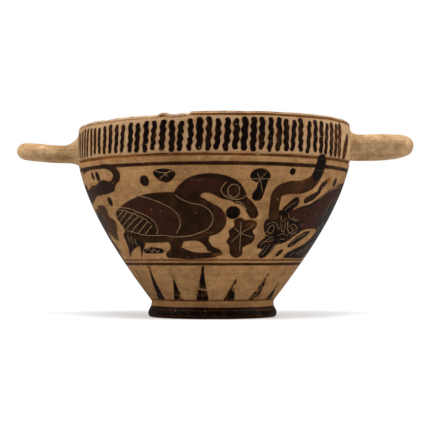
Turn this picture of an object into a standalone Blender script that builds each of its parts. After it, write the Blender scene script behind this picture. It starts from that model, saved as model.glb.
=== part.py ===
"""A two-handled wheel-thrown drinking cup (kotyle) in fired clay, at its real size.

Metres, +Z up, foot on Z = 0. The painted front faces -Y and the handles point along -X and +X.
The bowl, its ring foot and the two handles are one fired piece, so the cup is one solid.
"""

import math
from dataclasses import dataclass

import bmesh
import bpy
from mathutils import Matrix, Vector

# Overall sizes
VESSEL_HEIGHT = 0.0887
LIP_RADIUS = 0.0630
LIP_HEIGHT = 0.0181
LIP_SWELL = 0.0002
LIP_WALL = 0.0036
LIP_TOP_DRAW_IN = 0.0003

# The shallow groove that parts the upright lip from the bowl
GROOVE_DEPTH = 0.0005
GROOVE_WIDTH = 0.0016

# Bowl: the outer wall from just above the waist up to the groove is one curve,
# and each spread is how far it widens for each metre that it climbs
BOWL_START_OUT = 0.0007
BOWL_START_RISE = 0.0018
SHOULDER_INSET = 0.00035
BOWL_SPREAD_LOW = 0.748
BOWL_SPREAD_HIGH = 0.208
BOWL_WALL = 0.0038

# The floor inside, and the height over which the wall turns into it.
# The last two are shares of that height and of the floor's radius that shape the turn
FLOOR_THICKNESS = 0.0058
FLOOR_TURN_HEIGHT = 0.0062
WALL_RUN_SHARE = 0.7
FLOOR_FLAT_SHARE = 0.6

# Ring foot, which narrows to a waist under the bowl
FOOT_HEIGHT = 0.0064
FOOT_RADIUS = 0.0302
WAIST_INSET = 0.00195
FOOT_EDGE_HEIGHT = 0.0015
FOOT_EDGE_BEVEL = 0.0012
FOOT_RING_WIDTH = 0.0048
RECESS_DEPTH = 0.0042
RECESS_SLOPE = 0.0018

# The cup isn't quite true: it leans a little, and its lip rises to the right.
# Its edge is worn down along the front, from the left handle to the middle
LEAN = 0.0010
LIP_TILT = 0.0007
WEAR_DEPTH = 0.0008
WEAR_START_DEG = -84.0
WEAR_END_DEG = -9.5

# Handles: round bars bent into horizontal loops that stand a little towards the back.
# The straight share is the part of their length before their sides curve in to the tip
BAR_RADIUS = 0.00385
ROOT_SPACING = 0.0240
LOOP_BULGE = 0.0046
LOOP_STRAIGHT_SHARE = 0.42
ROOT_FLARE_ABOVE = 0.0030
ROOT_FLARE_BELOW = 0.0014
ROOT_FLARE_ALONG = 0.0012
ROOT_FLARE_LENGTH = 0.0080
HANDLE_SET_BACK_DEG = 5.0


@dataclass(frozen=True)
class Loop:
    """What differs between the two handles."""

    name: str
    side: int
    stand_out: float
    drop: float
    rise: float
    roll_deg: float


LEFT_LOOP = Loop("left_loop", side=-1, stand_out=0.0298, drop=0.0132, rise=0.0020, roll_deg=5.0)
RIGHT_LOOP = Loop("right_loop", side=1, stand_out=0.0308, drop=0.0102, rise=0.0002, roll_deg=-3.8)

# Fineness of the facets
TURN_STEPS = 72
BOWL_STEPS = 13
FLOOR_STEPS = 5
EDGE_STEPS = 6
BAR_SIDES = 14
BAR_STEPS = 9

GROOVE_HEIGHT = VESSEL_HEIGHT - LIP_HEIGHT
WAIST_RADIUS = FOOT_RADIUS - WAIST_INSET
BOWL_START_RADIUS = WAIST_RADIUS + BOWL_START_OUT
BOWL_START_HEIGHT = FOOT_HEIGHT + BOWL_START_RISE

CLAY_COLOUR = (0.46, 0.27, 0.13, 1.0)
CLAY_ROUGHNESS = 0.7
SHARP_ANGLE_DEG = 40.0
MERGE_DISTANCE = 0.00001


def clear_scene():
    """Removes every object of the startup scene."""
    for obj in list(bpy.data.objects):
        bpy.data.objects.remove(obj)


def fired_clay():
    """The pale orange-brown clay of the whole cup."""
    material = bpy.data.materials.new("fired_clay")
    material.use_nodes = True
    shader = material.node_tree.nodes["Principled BSDF"]
    shader.inputs["Base Color"].default_value = CLAY_COLOUR
    shader.inputs["Roughness"].default_value = CLAY_ROUGHNESS
    shader.inputs["Metallic"].default_value = 0.0
    return material


def bezier(points, t):
    """A point of the cubic Bezier curve with these four control points."""
    a, b, c, d = (Vector(p) for p in points)
    s = 1.0 - t
    return a * s**3 + b * 3 * s * s * t + c * 3 * s * t * t + d * t**3


def half_circle(centre, radius, steps):
    """Points over the top of a circle in the profile plane, from its outer side to its inner side."""
    angles = [math.pi * i / steps for i in range(steps + 1)]
    return [centre + radius * Vector((math.cos(a), math.sin(a))) for a in angles]


def bowl_curve(inset):
    """Control points, as radius and height, of the bowl's wall, set in from the outside by inset."""
    top = GROOVE_HEIGHT - GROOVE_WIDTH / 2
    third = (top - BOWL_START_HEIGHT) / 3
    start = BOWL_START_RADIUS - inset
    shoulder = LIP_RADIUS - SHOULDER_INSET - inset
    return [
        (start, BOWL_START_HEIGHT),
        (start + BOWL_SPREAD_LOW * third, BOWL_START_HEIGHT + third),
        (shoulder - BOWL_SPREAD_HIGH * third, top - third),
        (shoulder, top),
    ]


def foot_profile():
    """The underside and the ring foot, from the axis out and up to the waist."""
    ring_outer = FOOT_RADIUS - FOOT_EDGE_BEVEL
    ring_inner = ring_outer - FOOT_RING_WIDTH
    neck = (FOOT_RADIUS + WAIST_RADIUS) / 2
    return [
        Vector((0.0, RECESS_DEPTH)),
        Vector((ring_inner - RECESS_SLOPE, RECESS_DEPTH)),
        Vector((ring_inner, 0.0)),
        Vector((ring_outer, 0.0)),
        Vector((FOOT_RADIUS, FOOT_EDGE_HEIGHT)),
        Vector((neck, (FOOT_EDGE_HEIGHT + FOOT_HEIGHT) / 2)),
        Vector((WAIST_RADIUS, FOOT_HEIGHT)),
    ]


def outer_wall():
    """The bowl's outer wall with the groove above it."""
    curve = bowl_curve(0.0)
    points = [bezier(curve, i / BOWL_STEPS) for i in range(BOWL_STEPS + 1)]
    points.append(Vector((LIP_RADIUS - SHOULDER_INSET - GROOVE_DEPTH, GROOVE_HEIGHT)))
    points.append(Vector((LIP_RADIUS, GROOVE_HEIGHT + GROOVE_WIDTH / 2)))
    return points


def lip_profile():
    """The upright lip, over its rounded top and down to the inner wall."""
    round_radius = LIP_WALL / 2
    middle = (GROOVE_HEIGHT + VESSEL_HEIGHT) / 2
    centre = Vector((LIP_RADIUS - LIP_TOP_DRAW_IN - round_radius, VESSEL_HEIGHT - round_radius))
    return [
        Vector((LIP_RADIUS + LIP_SWELL, middle)),
        *half_circle(centre, round_radius, EDGE_STEPS),
        Vector((LIP_RADIUS - LIP_WALL, middle)),
    ]


def inner_wall():
    """The inside of the bowl, from under the lip down to the middle of the floor."""
    curve = bowl_curve(BOWL_WALL)
    floor = RECESS_DEPTH + FLOOR_THICKNESS
    wall = [bezier(curve, 1 - i / BOWL_STEPS) for i in range(BOWL_STEPS + 1)]
    kept = [p for p in wall if p.y > floor + FLOOR_TURN_HEIGHT]
    start = kept[-1]
    run = (start.y - floor) * WALL_RUN_SHARE
    bottom = [
        start,
        (start.x - BOWL_SPREAD_LOW * run, start.y - run),
        (start.x * FLOOR_FLAT_SHARE, floor),
        (0.0, floor),
    ]
    return kept + [bezier(bottom, i / FLOOR_STEPS) for i in range(1, FLOOR_STEPS + 1)]


def cup_profile():
    """The whole section of the cup, from the underside's middle round to the floor's middle."""
    return foot_profile() + outer_wall() + lip_profile() + inner_wall()


def rim_share(height):
    """0 at the groove and below, 1 at the top of the lip."""
    return min(1.0, max(0.0, (height - GROOVE_HEIGHT) / LIP_HEIGHT))


def lean_at(height):
    """How far the leaning cup's axis stands to the right at this height."""
    return LEAN * (height / VESSEL_HEIGHT - 0.5)


def out_of_true(point):
    """Where a point of the true turned cup lies on this leaning cup with its tilted, worn lip."""
    azimuth = math.degrees(math.atan2(point.x, -point.y))
    lift = LIP_TILT * point.x / LIP_RADIUS
    if WEAR_START_DEG < azimuth < WEAR_END_DEG:
        lift -= WEAR_DEPTH
    return Vector((point.x + lean_at(point.z), point.y, point.z + lift * rim_share(point.z)))


def turned_cup(name):
    """The bowl, lip and foot, turned from the profile about the Z axis."""
    mesh = bmesh.new()
    ring = [mesh.verts.new((p.x, 0.0, p.y)) for p in cup_profile()]
    edges = [mesh.edges.new(pair) for pair in zip(ring, ring[1:])]
    bmesh.ops.spin(
        mesh, geom=ring + edges, cent=(0, 0, 0), axis=(0, 0, 1), angle=math.tau, steps=TURN_STEPS, use_merge=True
    )
    bmesh.ops.remove_doubles(mesh, verts=mesh.verts, dist=MERGE_DISTANCE)
    for vert in mesh.verts:
        vert.co = out_of_true(vert.co)
    bmesh.ops.recalc_face_normals(mesh, faces=mesh.faces)
    return finished(name, mesh)


def loop_path(loop):
    """Centres of the bar's rings, from the front root to the rear one, of a loop along +X."""
    half = ROOT_SPACING / 2
    start = math.sqrt(LIP_RADIUS**2 - half**2)
    tip = LIP_RADIUS + loop.stand_out - BAR_RADIUS
    curve = [
        (start, half, 0.0),
        (start + (tip - start) * LOOP_STRAIGHT_SHARE, half + LOOP_BULGE, 0.0),
        (tip, half + LOOP_BULGE, loop.rise),
        (tip, 0.0, loop.rise),
    ]
    rear = [bezier(curve, i / BAR_STEPS) for i in range(BAR_STEPS + 1)]
    path = [Vector((p.x, -p.y, p.z)) for p in rear] + rear[-2::-1]
    roll = math.tan(math.radians(loop.roll_deg))
    height = VESSEL_HEIGHT - loop.drop
    return [Vector((p.x, p.y, height + p.z + roll * p.y)) for p in path]


def bar_ring(centre, along, flare):
    """The bar's corners round one centre, wider where the bar flares into the wall."""
    up = (Vector((0, 0, 1)) - along * along.z).normalized()
    across = along.cross(up)
    wide = BAR_RADIUS + ROOT_FLARE_ALONG * flare
    ring = []
    for i in range(BAR_SIDES):
        angle = math.tau * i / BAR_SIDES
        growth = ROOT_FLARE_ABOVE if math.sin(angle) > 0 else ROOT_FLARE_BELOW
        tall = BAR_RADIUS + growth * flare
        ring.append(centre + up * tall * math.sin(angle) + across * wide * math.cos(angle))
    return ring


def loop_rings(loop):
    """Every ring of the bar, with one more at each end, inside the lip's wall."""
    path = loop_path(loop)
    lengths = [0.0]
    for a, b in zip(path, path[1:]):
        lengths.append(lengths[-1] + (b - a).length)
    rings = []
    for i, centre in enumerate(path):
        along = path[min(i + 1, len(path) - 1)] - path[max(i - 1, 0)]
        if i in (0, len(path) - 1):
            along = Vector((centre.x, centre.y, 0.0)) * (1 if i == 0 else -1)
        from_root = min(lengths[i], lengths[-1] - lengths[i])
        flare = max(0.0, 1 - from_root / ROOT_FLARE_LENGTH) ** 2
        rings.append(bar_ring(centre, along.normalized(), flare))
    return [[into_wall(p) for p in rings[0]], *rings, [into_wall(p) for p in rings[-1]]]


def loop_handle(loop):
    """One handle: a round bar that widens into the wall at both roots.

    It starts in the wall's middle, so that it joins the wall and stays out of the bowl.
    """
    mesh = bmesh.new()
    loops = [[mesh.verts.new(p) for p in ring] for ring in loop_rings(loop)]
    for a, b in zip(loops, loops[1:]):
        for i in range(BAR_SIDES):
            j = (i + 1) % BAR_SIDES
            mesh.faces.new((a[i], a[j], b[j], b[i]))
    for end in (loops[0], loops[-1]):
        bmesh.ops.poke(mesh, faces=[mesh.faces.new(end)])
    turn = Matrix.Rotation(math.radians(HANDLE_SET_BACK_DEG), 4, "Z")
    side = Matrix.Scale(loop.side, 4, Vector((1, 0, 0)))
    shift = Matrix.Translation((lean_at(VESSEL_HEIGHT - loop.drop), 0, 0))
    bmesh.ops.transform(mesh, matrix=shift @ side @ turn, verts=mesh.verts)
    bmesh.ops.recalc_face_normals(mesh, faces=mesh.faces)
    return finished(loop.name, mesh)


def into_wall(point):
    """The point moved straight towards the axis, to the middle of the lip's wall."""
    flat = Vector((point.x, point.y, 0.0)).normalized() * (LIP_RADIUS - LIP_WALL / 2)
    return Vector((flat.x, flat.y, point.z))


def finished(name, mesh):
    """A new object that holds the mesh."""
    data = bpy.data.meshes.new(name)
    mesh.to_mesh(data)
    mesh.free()
    obj = bpy.data.objects.new(name, data)
    bpy.context.scene.collection.objects.link(obj)
    return obj


def join(cup, piece):
    """Unites a handle with the cup, and leaves it as a helper that isn't a part."""
    piece.hide_render = True
    piece.display_type = "WIRE"
    union = cup.modifiers.new("join_" + piece.name, "BOOLEAN")
    union.operation = "UNION"
    union.solver = "EXACT"
    union.object = piece


def main():
    """Builds the cup with its two handles as one solid."""
    clear_scene()
    cup = turned_cup("kotyle")
    cup.data.materials.append(fired_clay())
    for loop in (LEFT_LOOP, RIGHT_LOOP):
        join(cup, loop_handle(loop))
    cup.data.shade_smooth()
    cup.data.set_sharp_from_angle(angle=math.radians(SHARP_ANGLE_DEG))


main()
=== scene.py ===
"""A two-handled painted drinking cup (kotyle) in fired clay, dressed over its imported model.

The cup is one skin. Its outside is drawn flat on a map, as the painter saw it unrolled, with every
painted and incised shape as an outline, and then wrapped back round the turned body. Places on the
cup are given as azimuth in degrees (0 is the front, positive to the right) and height in mm.
"""

import logging
import math
import random
from dataclasses import dataclass, field
from enum import IntEnum

import bmesh
import bpy
import numpy as np
from mathutils import Matrix, Vector, noise
from mathutils.geometry import delaunay_2d_cdt
from mathutils.kdtree import KDTree


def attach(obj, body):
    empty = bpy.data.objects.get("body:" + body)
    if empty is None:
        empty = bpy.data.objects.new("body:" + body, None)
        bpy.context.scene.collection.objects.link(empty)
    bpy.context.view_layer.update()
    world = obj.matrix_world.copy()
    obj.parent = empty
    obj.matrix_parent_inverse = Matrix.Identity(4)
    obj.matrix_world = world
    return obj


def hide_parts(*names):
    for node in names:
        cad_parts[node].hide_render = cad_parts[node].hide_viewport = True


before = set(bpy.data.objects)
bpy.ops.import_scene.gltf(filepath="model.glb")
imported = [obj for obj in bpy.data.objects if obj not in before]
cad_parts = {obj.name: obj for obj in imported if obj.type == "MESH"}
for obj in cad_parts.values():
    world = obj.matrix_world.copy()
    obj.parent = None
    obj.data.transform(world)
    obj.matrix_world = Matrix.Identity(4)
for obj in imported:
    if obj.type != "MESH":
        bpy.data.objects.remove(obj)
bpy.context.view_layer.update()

log = logging.getLogger("painted_cup")

MM = 0.001
NODE = "kotyle"
BAKE_MAP = "OFBake"
SEAM_DEG = 134.0
SEED = 7

Point = tuple[float, float]
Colour = tuple[float, float, float]
Socket = bpy.types.NodeSocket
Place = np.ndarray | Vector


class Finish(IntEnum):
    """What a patch of the cup's skin is finished with; the value is its material's place."""

    CLAY = 0
    GLAZE = 1
    RED = 2
    CUT = 3
    LINING = 4
    BARE = 5
    HANDLE = 6


def smooth_step(low: float, high: float, value: float) -> float:
    """0 below low, 1 above high and an even ease between."""
    t = min(1.0, max(0.0, (value - low) / (high - low)))
    return t * t * (3 - 2 * t)


def bearing(point: Vector) -> float:
    """The angle of a point about the cup's axis, in radians, 0 in front and positive to the right."""
    return math.atan2(point.x, -point.y)


def on_map(azimuth: float) -> float:
    """An azimuth turned back to the map, whose right side is the seam."""
    return azimuth - 360 if azimuth > SEAM_DEG else azimuth


def search_tree(points: np.ndarray | list[tuple]) -> KDTree:
    """A search tree of some points, numbered in their order."""
    tree = KDTree(len(points))
    for i, point in enumerate(points):
        tree.insert(point, i)
    tree.balance()
    return tree


def headings(line: np.ndarray) -> tuple[np.ndarray, np.ndarray]:
    """The unit steps ahead and to the left at each point of a line on the map."""
    ahead = np.gradient(line, axis=0)
    ahead /= np.hypot(*ahead.T)[:, None]
    return ahead, np.stack([-ahead[:, 1], ahead[:, 0]], axis=1)


def flowing(points: np.ndarray, closed: bool, step: float) -> np.ndarray:
    """Samples the smooth curve through some points.

    Args:
        points: The points, one row each. A point given twice is a corner.
        closed: Whether the curve comes back to its first point.
        step: The greatest distance between samples.

    Returns:
        The samples, one row each, without the first one again at the end of a closed curve.
    """
    count = len(points)
    samples = []
    for i in range(count if closed else count - 1):
        start, end = points[i], points[(i + 1) % count]
        gap = float(np.hypot(*(end - start)))
        if gap < 1e-9:
            continue
        before = points[i - 1] if closed or i else start
        after = points[(i + 2) % count] if closed or i + 2 < count else end
        leave, arrive = end - before, after - start
        leave = leave * gap / max(float(np.hypot(*leave)), 1e-9)
        arrive = arrive * gap / max(float(np.hypot(*arrive)), 1e-9)
        steps = max(1, math.ceil(gap / step))
        t = (np.arange(steps) / steps)[:, None]
        samples.append(
            start * (2 * t**3 - 3 * t**2 + 1)
            + leave * (t**3 - 2 * t**2 + t)
            + end * (3 * t**2 - 2 * t**3)
            + arrive * (t**3 - t**2)
        )
    if not closed:
        samples.append(points[-1:])
    return np.concatenate(samples)


def cubic(a: Place, b: Place, c: Place, d: Place, t: float) -> Place:
    """The point of a cubic Bezier curve at a time from 0 to 1."""
    s = 1 - t
    return a * s**3 + b * 3 * s * s * t + c * 3 * s * t * t + d * t**3


def bezier(points: list[Point], steps: int) -> list[Point]:
    """Evenly timed points of a cubic Bezier curve, both ends included."""
    ends = [np.array(p, dtype=float) for p in points]
    return [tuple(map(float, cubic(*ends, t))) for t in np.linspace(0, 1, steps + 1)]


@dataclass
class Section:
    """The half section of the turned cup, as radius and height in mm."""

    height: float = 88.7
    lip_radius: float = 63.0
    lip_height: float = 18.1
    lip_swell: float = 0.2
    lip_wall: float = 3.6
    draw_in: float = 0.3
    groove_depth: float = 0.5
    groove_width: float = 1.6
    shoulder_inset: float = 0.35
    spread_low: float = 0.748
    spread_high: float = 0.208
    bowl_wall: float = 3.8
    floor_height: float = 10.0
    floor_turn: float = 6.2
    foot_radius: float = 29.8
    foot_height: float = 6.4
    waist_inset: float = 1.55
    edge_bevel: float = 1.2
    edge_height: float = 1.5
    ring_width: float = 4.8
    recess_depth: float = 4.2
    recess_slope: float = 1.8
    bowl_start_out: float = 0.7
    bowl_start_rise: float = 1.8
    sample: float = 0.1
    least_rise: float = 1e-9
    bowl_steps: int = 24
    floor_steps: int = 10
    round_steps: int = 6
    radii: np.ndarray = field(init=False)
    heights: np.ndarray = field(init=False)
    climbs: np.ndarray = field(init=False)

    def __post_init__(self) -> None:
        """Samples the outside finely and sums up the map's height along it."""
        line = flowing(np.array(self.outer_points()), False, self.sample)
        rising = line[:, 1] + np.arange(len(line)) * self.least_rise
        self.radii, self.heights = line[:, 0], np.maximum.accumulate(rising)
        run = np.hypot(np.diff(self.radii), np.diff(self.heights))
        middle = (self.radii[1:] + self.radii[:-1]) / 2
        self.climbs = np.concatenate([[0.0], np.cumsum(run / middle)])

    @property
    def groove_height(self) -> float:
        """Height of the groove that parts the lip from the bowl."""
        return self.height - self.lip_height

    def bowl_curve(self, inset: float) -> list[Point]:
        """Control points of the bowl's wall, set in from the outside by inset."""
        top = self.groove_height - self.groove_width / 2
        low = self.foot_height + self.bowl_start_rise
        third = (top - low) / 3
        start = self.foot_radius - self.waist_inset + self.bowl_start_out - inset
        shoulder = self.lip_radius - self.shoulder_inset - inset
        return [
            (start, low),
            (start + self.spread_low * third, low + third),
            (shoulder - self.spread_high * third, top - third),
            (shoulder, top),
        ]

    def outer_points(self) -> list[Point]:
        """The outside, from the foot's resting edge up to the crest of the lip."""
        foot, waist = self.foot_radius, self.foot_radius - self.waist_inset
        groove, lip = self.groove_height, self.lip_radius
        half, side = self.groove_width / 2, self.height - self.lip_wall / 2
        points = [
            (foot - self.edge_bevel, 0.0),
            (foot - self.edge_bevel * 0.45, 0.2),
            (foot - 0.15, 0.8),
            (foot, self.edge_height + 0.3),
            (foot - 0.3, 3.2),
            (foot - 1.1, 4.7),
            (waist + 0.15, self.foot_height - 0.5),
            (waist, self.foot_height + 0.3),
            (waist + 0.2, self.foot_height + 1.1),
        ]
        points += bezier(self.bowl_curve(0.0), self.bowl_steps)
        points += [
            (lip - self.shoulder_inset - self.groove_depth * 0.6, groove - half * 0.45),
            (lip - self.shoulder_inset - self.groove_depth, groove),
            (lip - self.groove_depth * 0.7, groove + half * 0.5),
            (lip - 0.05, groove + half * 1.1),
            (lip + self.lip_swell * 0.5, groove + 3.5),
            (lip + self.lip_swell, groove + self.lip_height / 2),
            (lip + self.lip_swell * 0.4, side - 3.0),
        ]
        return points + self.crest(0.0)

    def crest(self, start: float) -> list[Point]:
        """A quarter of the lip's round crest, from an angle in radians on."""
        size = self.lip_wall / 2
        centre, side = self.lip_radius - self.draw_in - size, self.height - size
        angles = [start + math.pi / 2 * i / self.round_steps for i in range(self.round_steps + 1)]
        return [(centre + size * math.cos(a), side + size * math.sin(a)) for a in angles]

    def inner_points(self) -> list[Point]:
        """The inside, from the crest of the lip down to the middle of the floor."""
        face = self.lip_radius - self.lip_wall
        points = self.crest(math.pi / 2)
        points.append((face, self.height - self.lip_wall / 2 - 3.0))
        points.append((face, self.groove_height + 5.0))
        wall = bezier(self.bowl_curve(self.bowl_wall), self.bowl_steps)[::-1]
        kept = [p for p in wall if p[1] > self.floor_height + self.floor_turn]
        start = kept[-1]
        run = (start[1] - self.floor_height) * 0.7
        floor = [
            start,
            (start[0] - self.spread_low * run, start[1] - run),
            (start[0] * 0.6, self.floor_height),
            (0.0, self.floor_height),
        ]
        return points + kept + bezier(floor, self.floor_steps)[1:]

    def under_points(self) -> list[Point]:
        """The underside, from the foot's resting edge in to the middle of the recess."""
        outer = self.foot_radius - self.edge_bevel
        inner = outer - self.ring_width
        return [
            (outer, 0.0),
            (outer - 1.2, 0.0),
            (inner + 1.0, 0.0),
            (inner + 0.3, 0.25),
            (inner - self.recess_slope * 0.8, self.recess_depth - 0.5),
            (inner - self.recess_slope - 0.8, self.recess_depth - 0.05),
            (inner * 0.5, self.recess_depth + 0.15),
            (0.0, self.recess_depth + 0.2),
        ]

    def climb(self, height: float) -> float:
        """The map's upward coordinate at a height on the outside."""
        return float(np.interp(height, self.heights, self.climbs))

    def radius(self, climb: float | np.ndarray) -> float | np.ndarray:
        """Radius of the outside at the map's upward coordinate."""
        return np.interp(climb, self.climbs, self.radii)

    def level(self, climb: float | np.ndarray) -> float | np.ndarray:
        """Height of the outside at the map's upward coordinate."""
        return np.interp(climb, self.climbs, self.heights)


@dataclass
class HandmadeShape:
    """How the real cup departs from a true turned one, in mm and degrees."""

    lean: float = 1.0
    lip_tilt: float = 0.7
    wear_depth: float = 0.85
    wear_start: float = -84.0
    wear_end: float = -9.5
    remnant: float = -20.0
    remnant_width: float = 2.4
    remnant_share: float = 0.75
    edge_depth: float = 3.6
    edge_wave: float = 0.16
    wobble: float = 0.16
    fine_wobble: float = 0.05
    still_below: float = 6.0
    section: Section = field(default_factory=Section)

    def lean_at(self, height: float) -> float:
        """How far the axis stands to the right at a height."""
        return self.lean * (height / self.section.height - 0.5)

    def worn(self, azimuth: float) -> float:
        """How much of the lip's edge is worn away at an azimuth."""
        a, b = self.wear_start, self.wear_end
        share = smooth_step(a - 3, a + 3, azimuth) * (1 - smooth_step(b - 0.8, b + 0.6, azimuth))
        ragged = noise.noise(Vector((azimuth * 0.21, 3.0, 0.5))) * 0.4
        ragged += noise.noise(Vector((azimuth * 0.9, 1.0, 0.5))) * 0.3
        left = math.exp(-(((azimuth - self.remnant) / self.remnant_width) ** 2)) * self.remnant_share
        return self.wear_depth * share * max(0.0, 1 + ragged - left)

    def apply(self, point: Vector) -> Vector:
        """Moves a point of the true cup, in mm, to its place on the real one."""
        x, y, z = point
        s = self.section
        azimuth = math.degrees(bearing(point))
        reach = math.hypot(x, y)
        rim = min(1.0, max(0.0, (z - s.groove_height) / s.lip_height))
        lift = self.lip_tilt * x / s.lip_radius * rim
        on_lip = reach > s.lip_radius - 6
        edge = smooth_step(s.height - self.edge_depth, s.height, z) if on_lip else 0.0
        lift -= self.worn(azimuth) * edge
        lift += noise.noise(Vector((azimuth * 0.12, 7.0, 2.0))) * self.edge_wave * edge
        around = Vector((x, y, z)) * 0.03
        swell = self.wobble * noise.noise(around) + self.fine_wobble * noise.noise(around * 5)
        swell *= smooth_step(0.0, self.still_below, z)
        out = Vector((x, y, 0)) * (swell / max(reach, 12.0))
        return Vector((x + self.lean_at(z), y, z + lift)) + out


@dataclass
class PaintShape:
    """One outline on the map with its finish."""

    outline: np.ndarray
    finish: Finish
    tone: float
    loss: float
    spine: np.ndarray | None = None


@dataclass(frozen=True)
class Spot:
    """A place and size for a painted figure whose points are given about its own origin."""

    azimuth: float = 0.0
    height: float = 0.0
    wide: float = 1.0
    tall: float = 1.0

    def put(self, points: list[Point]) -> list[Point]:
        """The points in azimuth and height."""
        return [(self.azimuth + x * self.wide, self.height + y * self.tall) for x, y in points]


@dataclass
class Drawing:
    """Every outline on the cup's outside, in the order in which it is painted."""

    section: Section
    step: float = 0.75
    cut_width: float = 0.38
    swell_share: float = 0.6
    drift_share: float = 1.3
    band_steps: int = 240
    ring_steps: int = 12
    where: Spot = Spot()
    shapes: list[PaintShape] = field(default_factory=list)
    dice: random.Random = field(default_factory=lambda: random.Random(SEED))
    left: float = math.radians(SEAM_DEG) - math.tau

    def at(self, points: list[Point]) -> np.ndarray:
        """Points of the present figure as places on the map."""
        return np.array([(math.radians(a), self.section.climb(h)) for a, h in self.where.put(points)])

    def scale(self, spot: np.ndarray) -> float:
        """The real length of one unit of the map at a place on it."""
        return float(self.section.radius(spot[1]))

    def add(self, outline: np.ndarray, finish: Finish, tone: float, loss: float,
            spine: np.ndarray | None = None) -> None:
        """Adds one outline, kept clear of the seam unless it runs right round."""
        if np.ptp(outline[:, 0]) < math.pi:
            outline[:, 0] = np.clip(outline[:, 0], self.left + 0.01, self.left + math.tau - 0.01)
        self.shapes.append(PaintShape(outline, finish, tone, loss, spine))

    def blob(self, points: list[Point], finish: Finish = Finish.GLAZE, tone: float = 0.1,
             loss: float = 0.15) -> None:
        """A filled shape whose outline flows through some points."""
        spots = self.at(points)
        line = flowing(spots, True, self.step / self.scale(spots.mean(axis=0)))
        self.add(line, finish, tone, loss)

    def oval(self, azimuth: float, height: float, wide: float, tall: float, tilt: float = 0.0,
             finish: Finish = Finish.GLAZE, tone: float = 0.1, loss: float = 0.15) -> None:
        """A filled oval whose half width and half height are in mm and whose tilt is in degrees."""
        centre = self.at([(azimuth, height)])[0]
        scale = self.scale(centre)
        around = max(8, round(math.pi * (wide + tall) / self.step))
        turn = math.radians(tilt)
        line = []
        for i in range(around):
            angle = math.tau * i / around
            x, y = wide * math.cos(angle), tall * math.sin(angle)
            line.append((x * math.cos(turn) - y * math.sin(turn), x * math.sin(turn) + y * math.cos(turn)))
        self.add(centre + np.array(line) / scale, finish, tone, loss)

    def brush(self, points: list[Point], widths: list[float], finish: Finish = Finish.GLAZE,
              tone: float = 0.1, loss: float = 0.15, waves: float = 0.0, lobes: float = 0.0) -> None:
        """A brush stroke with round ends.

        Args:
            points: The line that the brush follows.
            widths: The stroke's widths in mm, evenly spread along it.
            finish: What the stroke is painted with.
            tone: How thin the paint is, from 0 to 1.
            loss: How much of it has flaked, from 0 to 1.
            waves: How many times its sides swell.
            lobes: How much they swell and wander, in mm.
        """
        spots = self.at(points)
        scale = self.scale(spots.mean(axis=0))
        line = flowing(spots, False, self.step / scale)
        along = np.linspace(0, 1, len(line))
        half = np.interp(along, np.linspace(0, 1, len(widths)), widths) / 2
        ahead, aside = headings(line)
        start = self.dice.random()
        swell = lobes * self.swell_share * np.sin(math.tau * (waves * along + start))
        drift = lobes * self.drift_share * np.sin(math.tau * (waves * along * 0.8 + start * 3))
        left = line + aside * ((half + swell + drift) / scale)[:, None]
        right = line - aside * ((half + swell * 0.8 - drift) / scale)[:, None]
        far, near = self.cap(left[-1], right[-1], ahead[-1]), self.cap(right[0], left[0], -ahead[0])
        self.add(np.concatenate([left, far, right[::-1], near]), finish, tone, loss)

    def cap(self, start: np.ndarray, end: np.ndarray, ahead: np.ndarray) -> np.ndarray:
        """The round end of a stroke, from its one side to the other."""
        middle, half = (start + end) / 2, (start - end) / 2
        reach = ahead * float(np.hypot(*half)) * 0.85
        angles = [math.pi * k / 4 for k in (1, 2, 3)]
        return np.array([middle + half * math.cos(a) + reach * math.sin(a) for a in angles])

    def cut(self, *lines: list[Point], share: float = 1.0) -> None:
        """Lines incised through the paint, each one a narrow groove with pointed ends."""
        for points in lines:
            spots = self.at(points)
            scale = self.scale(spots.mean(axis=0))
            line = flowing(spots, False, self.step / scale)
            half = np.full(len(line), self.cut_width * share / 2 / scale)
            half[[0, -1]] *= 0.3
            aside = headings(line)[1] * half[:, None]
            self.add(np.concatenate([line + aside, (line - aside)[::-1]]), Finish.CUT, 0.0, 0.0, line)

    def ring(self, azimuth: float, height: float, radius: float) -> None:
        """An incised circle."""
        wide = math.degrees(radius / self.section.lip_radius) / self.where.wide
        points = []
        for i in range(self.ring_steps + 1):
            angle = math.tau * i / self.ring_steps
            up = radius * math.sin(angle) / self.where.tall
            points.append((azimuth + wide * math.cos(angle), height + up))
        self.cut(points)

    def band(self, low: float, high: float, tone: float, loss: float, waver: float = 0.12) -> None:
        """A line painted right round the cup, with slightly uneven edges.

        Args:
            low: Height of its lower edge.
            high: Height of its upper edge.
            tone: How thin the paint is.
            loss: How much of it has flaked.
            waver: How far its edges wander, in mm.
        """
        count = self.band_steps
        start = math.radians(SEAM_DEG - 360)
        edges = []
        for edge in (low, high):
            points = []
            for i in range(count + 1):
                angle = math.tau * (i % count) / count
                spot = Vector((math.cos(angle) * 3, math.sin(angle) * 3, edge))
                height = edge + waver * noise.noise(spot) + waver * 0.6 * noise.noise(spot * 4)
                points.append((start + math.tau * i / count, self.section.climb(height)))
            edges.append(np.array(points))
        self.add(np.concatenate([edges[0], edges[1][::-1]]), Finish.GLAZE, tone, loss)


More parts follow.
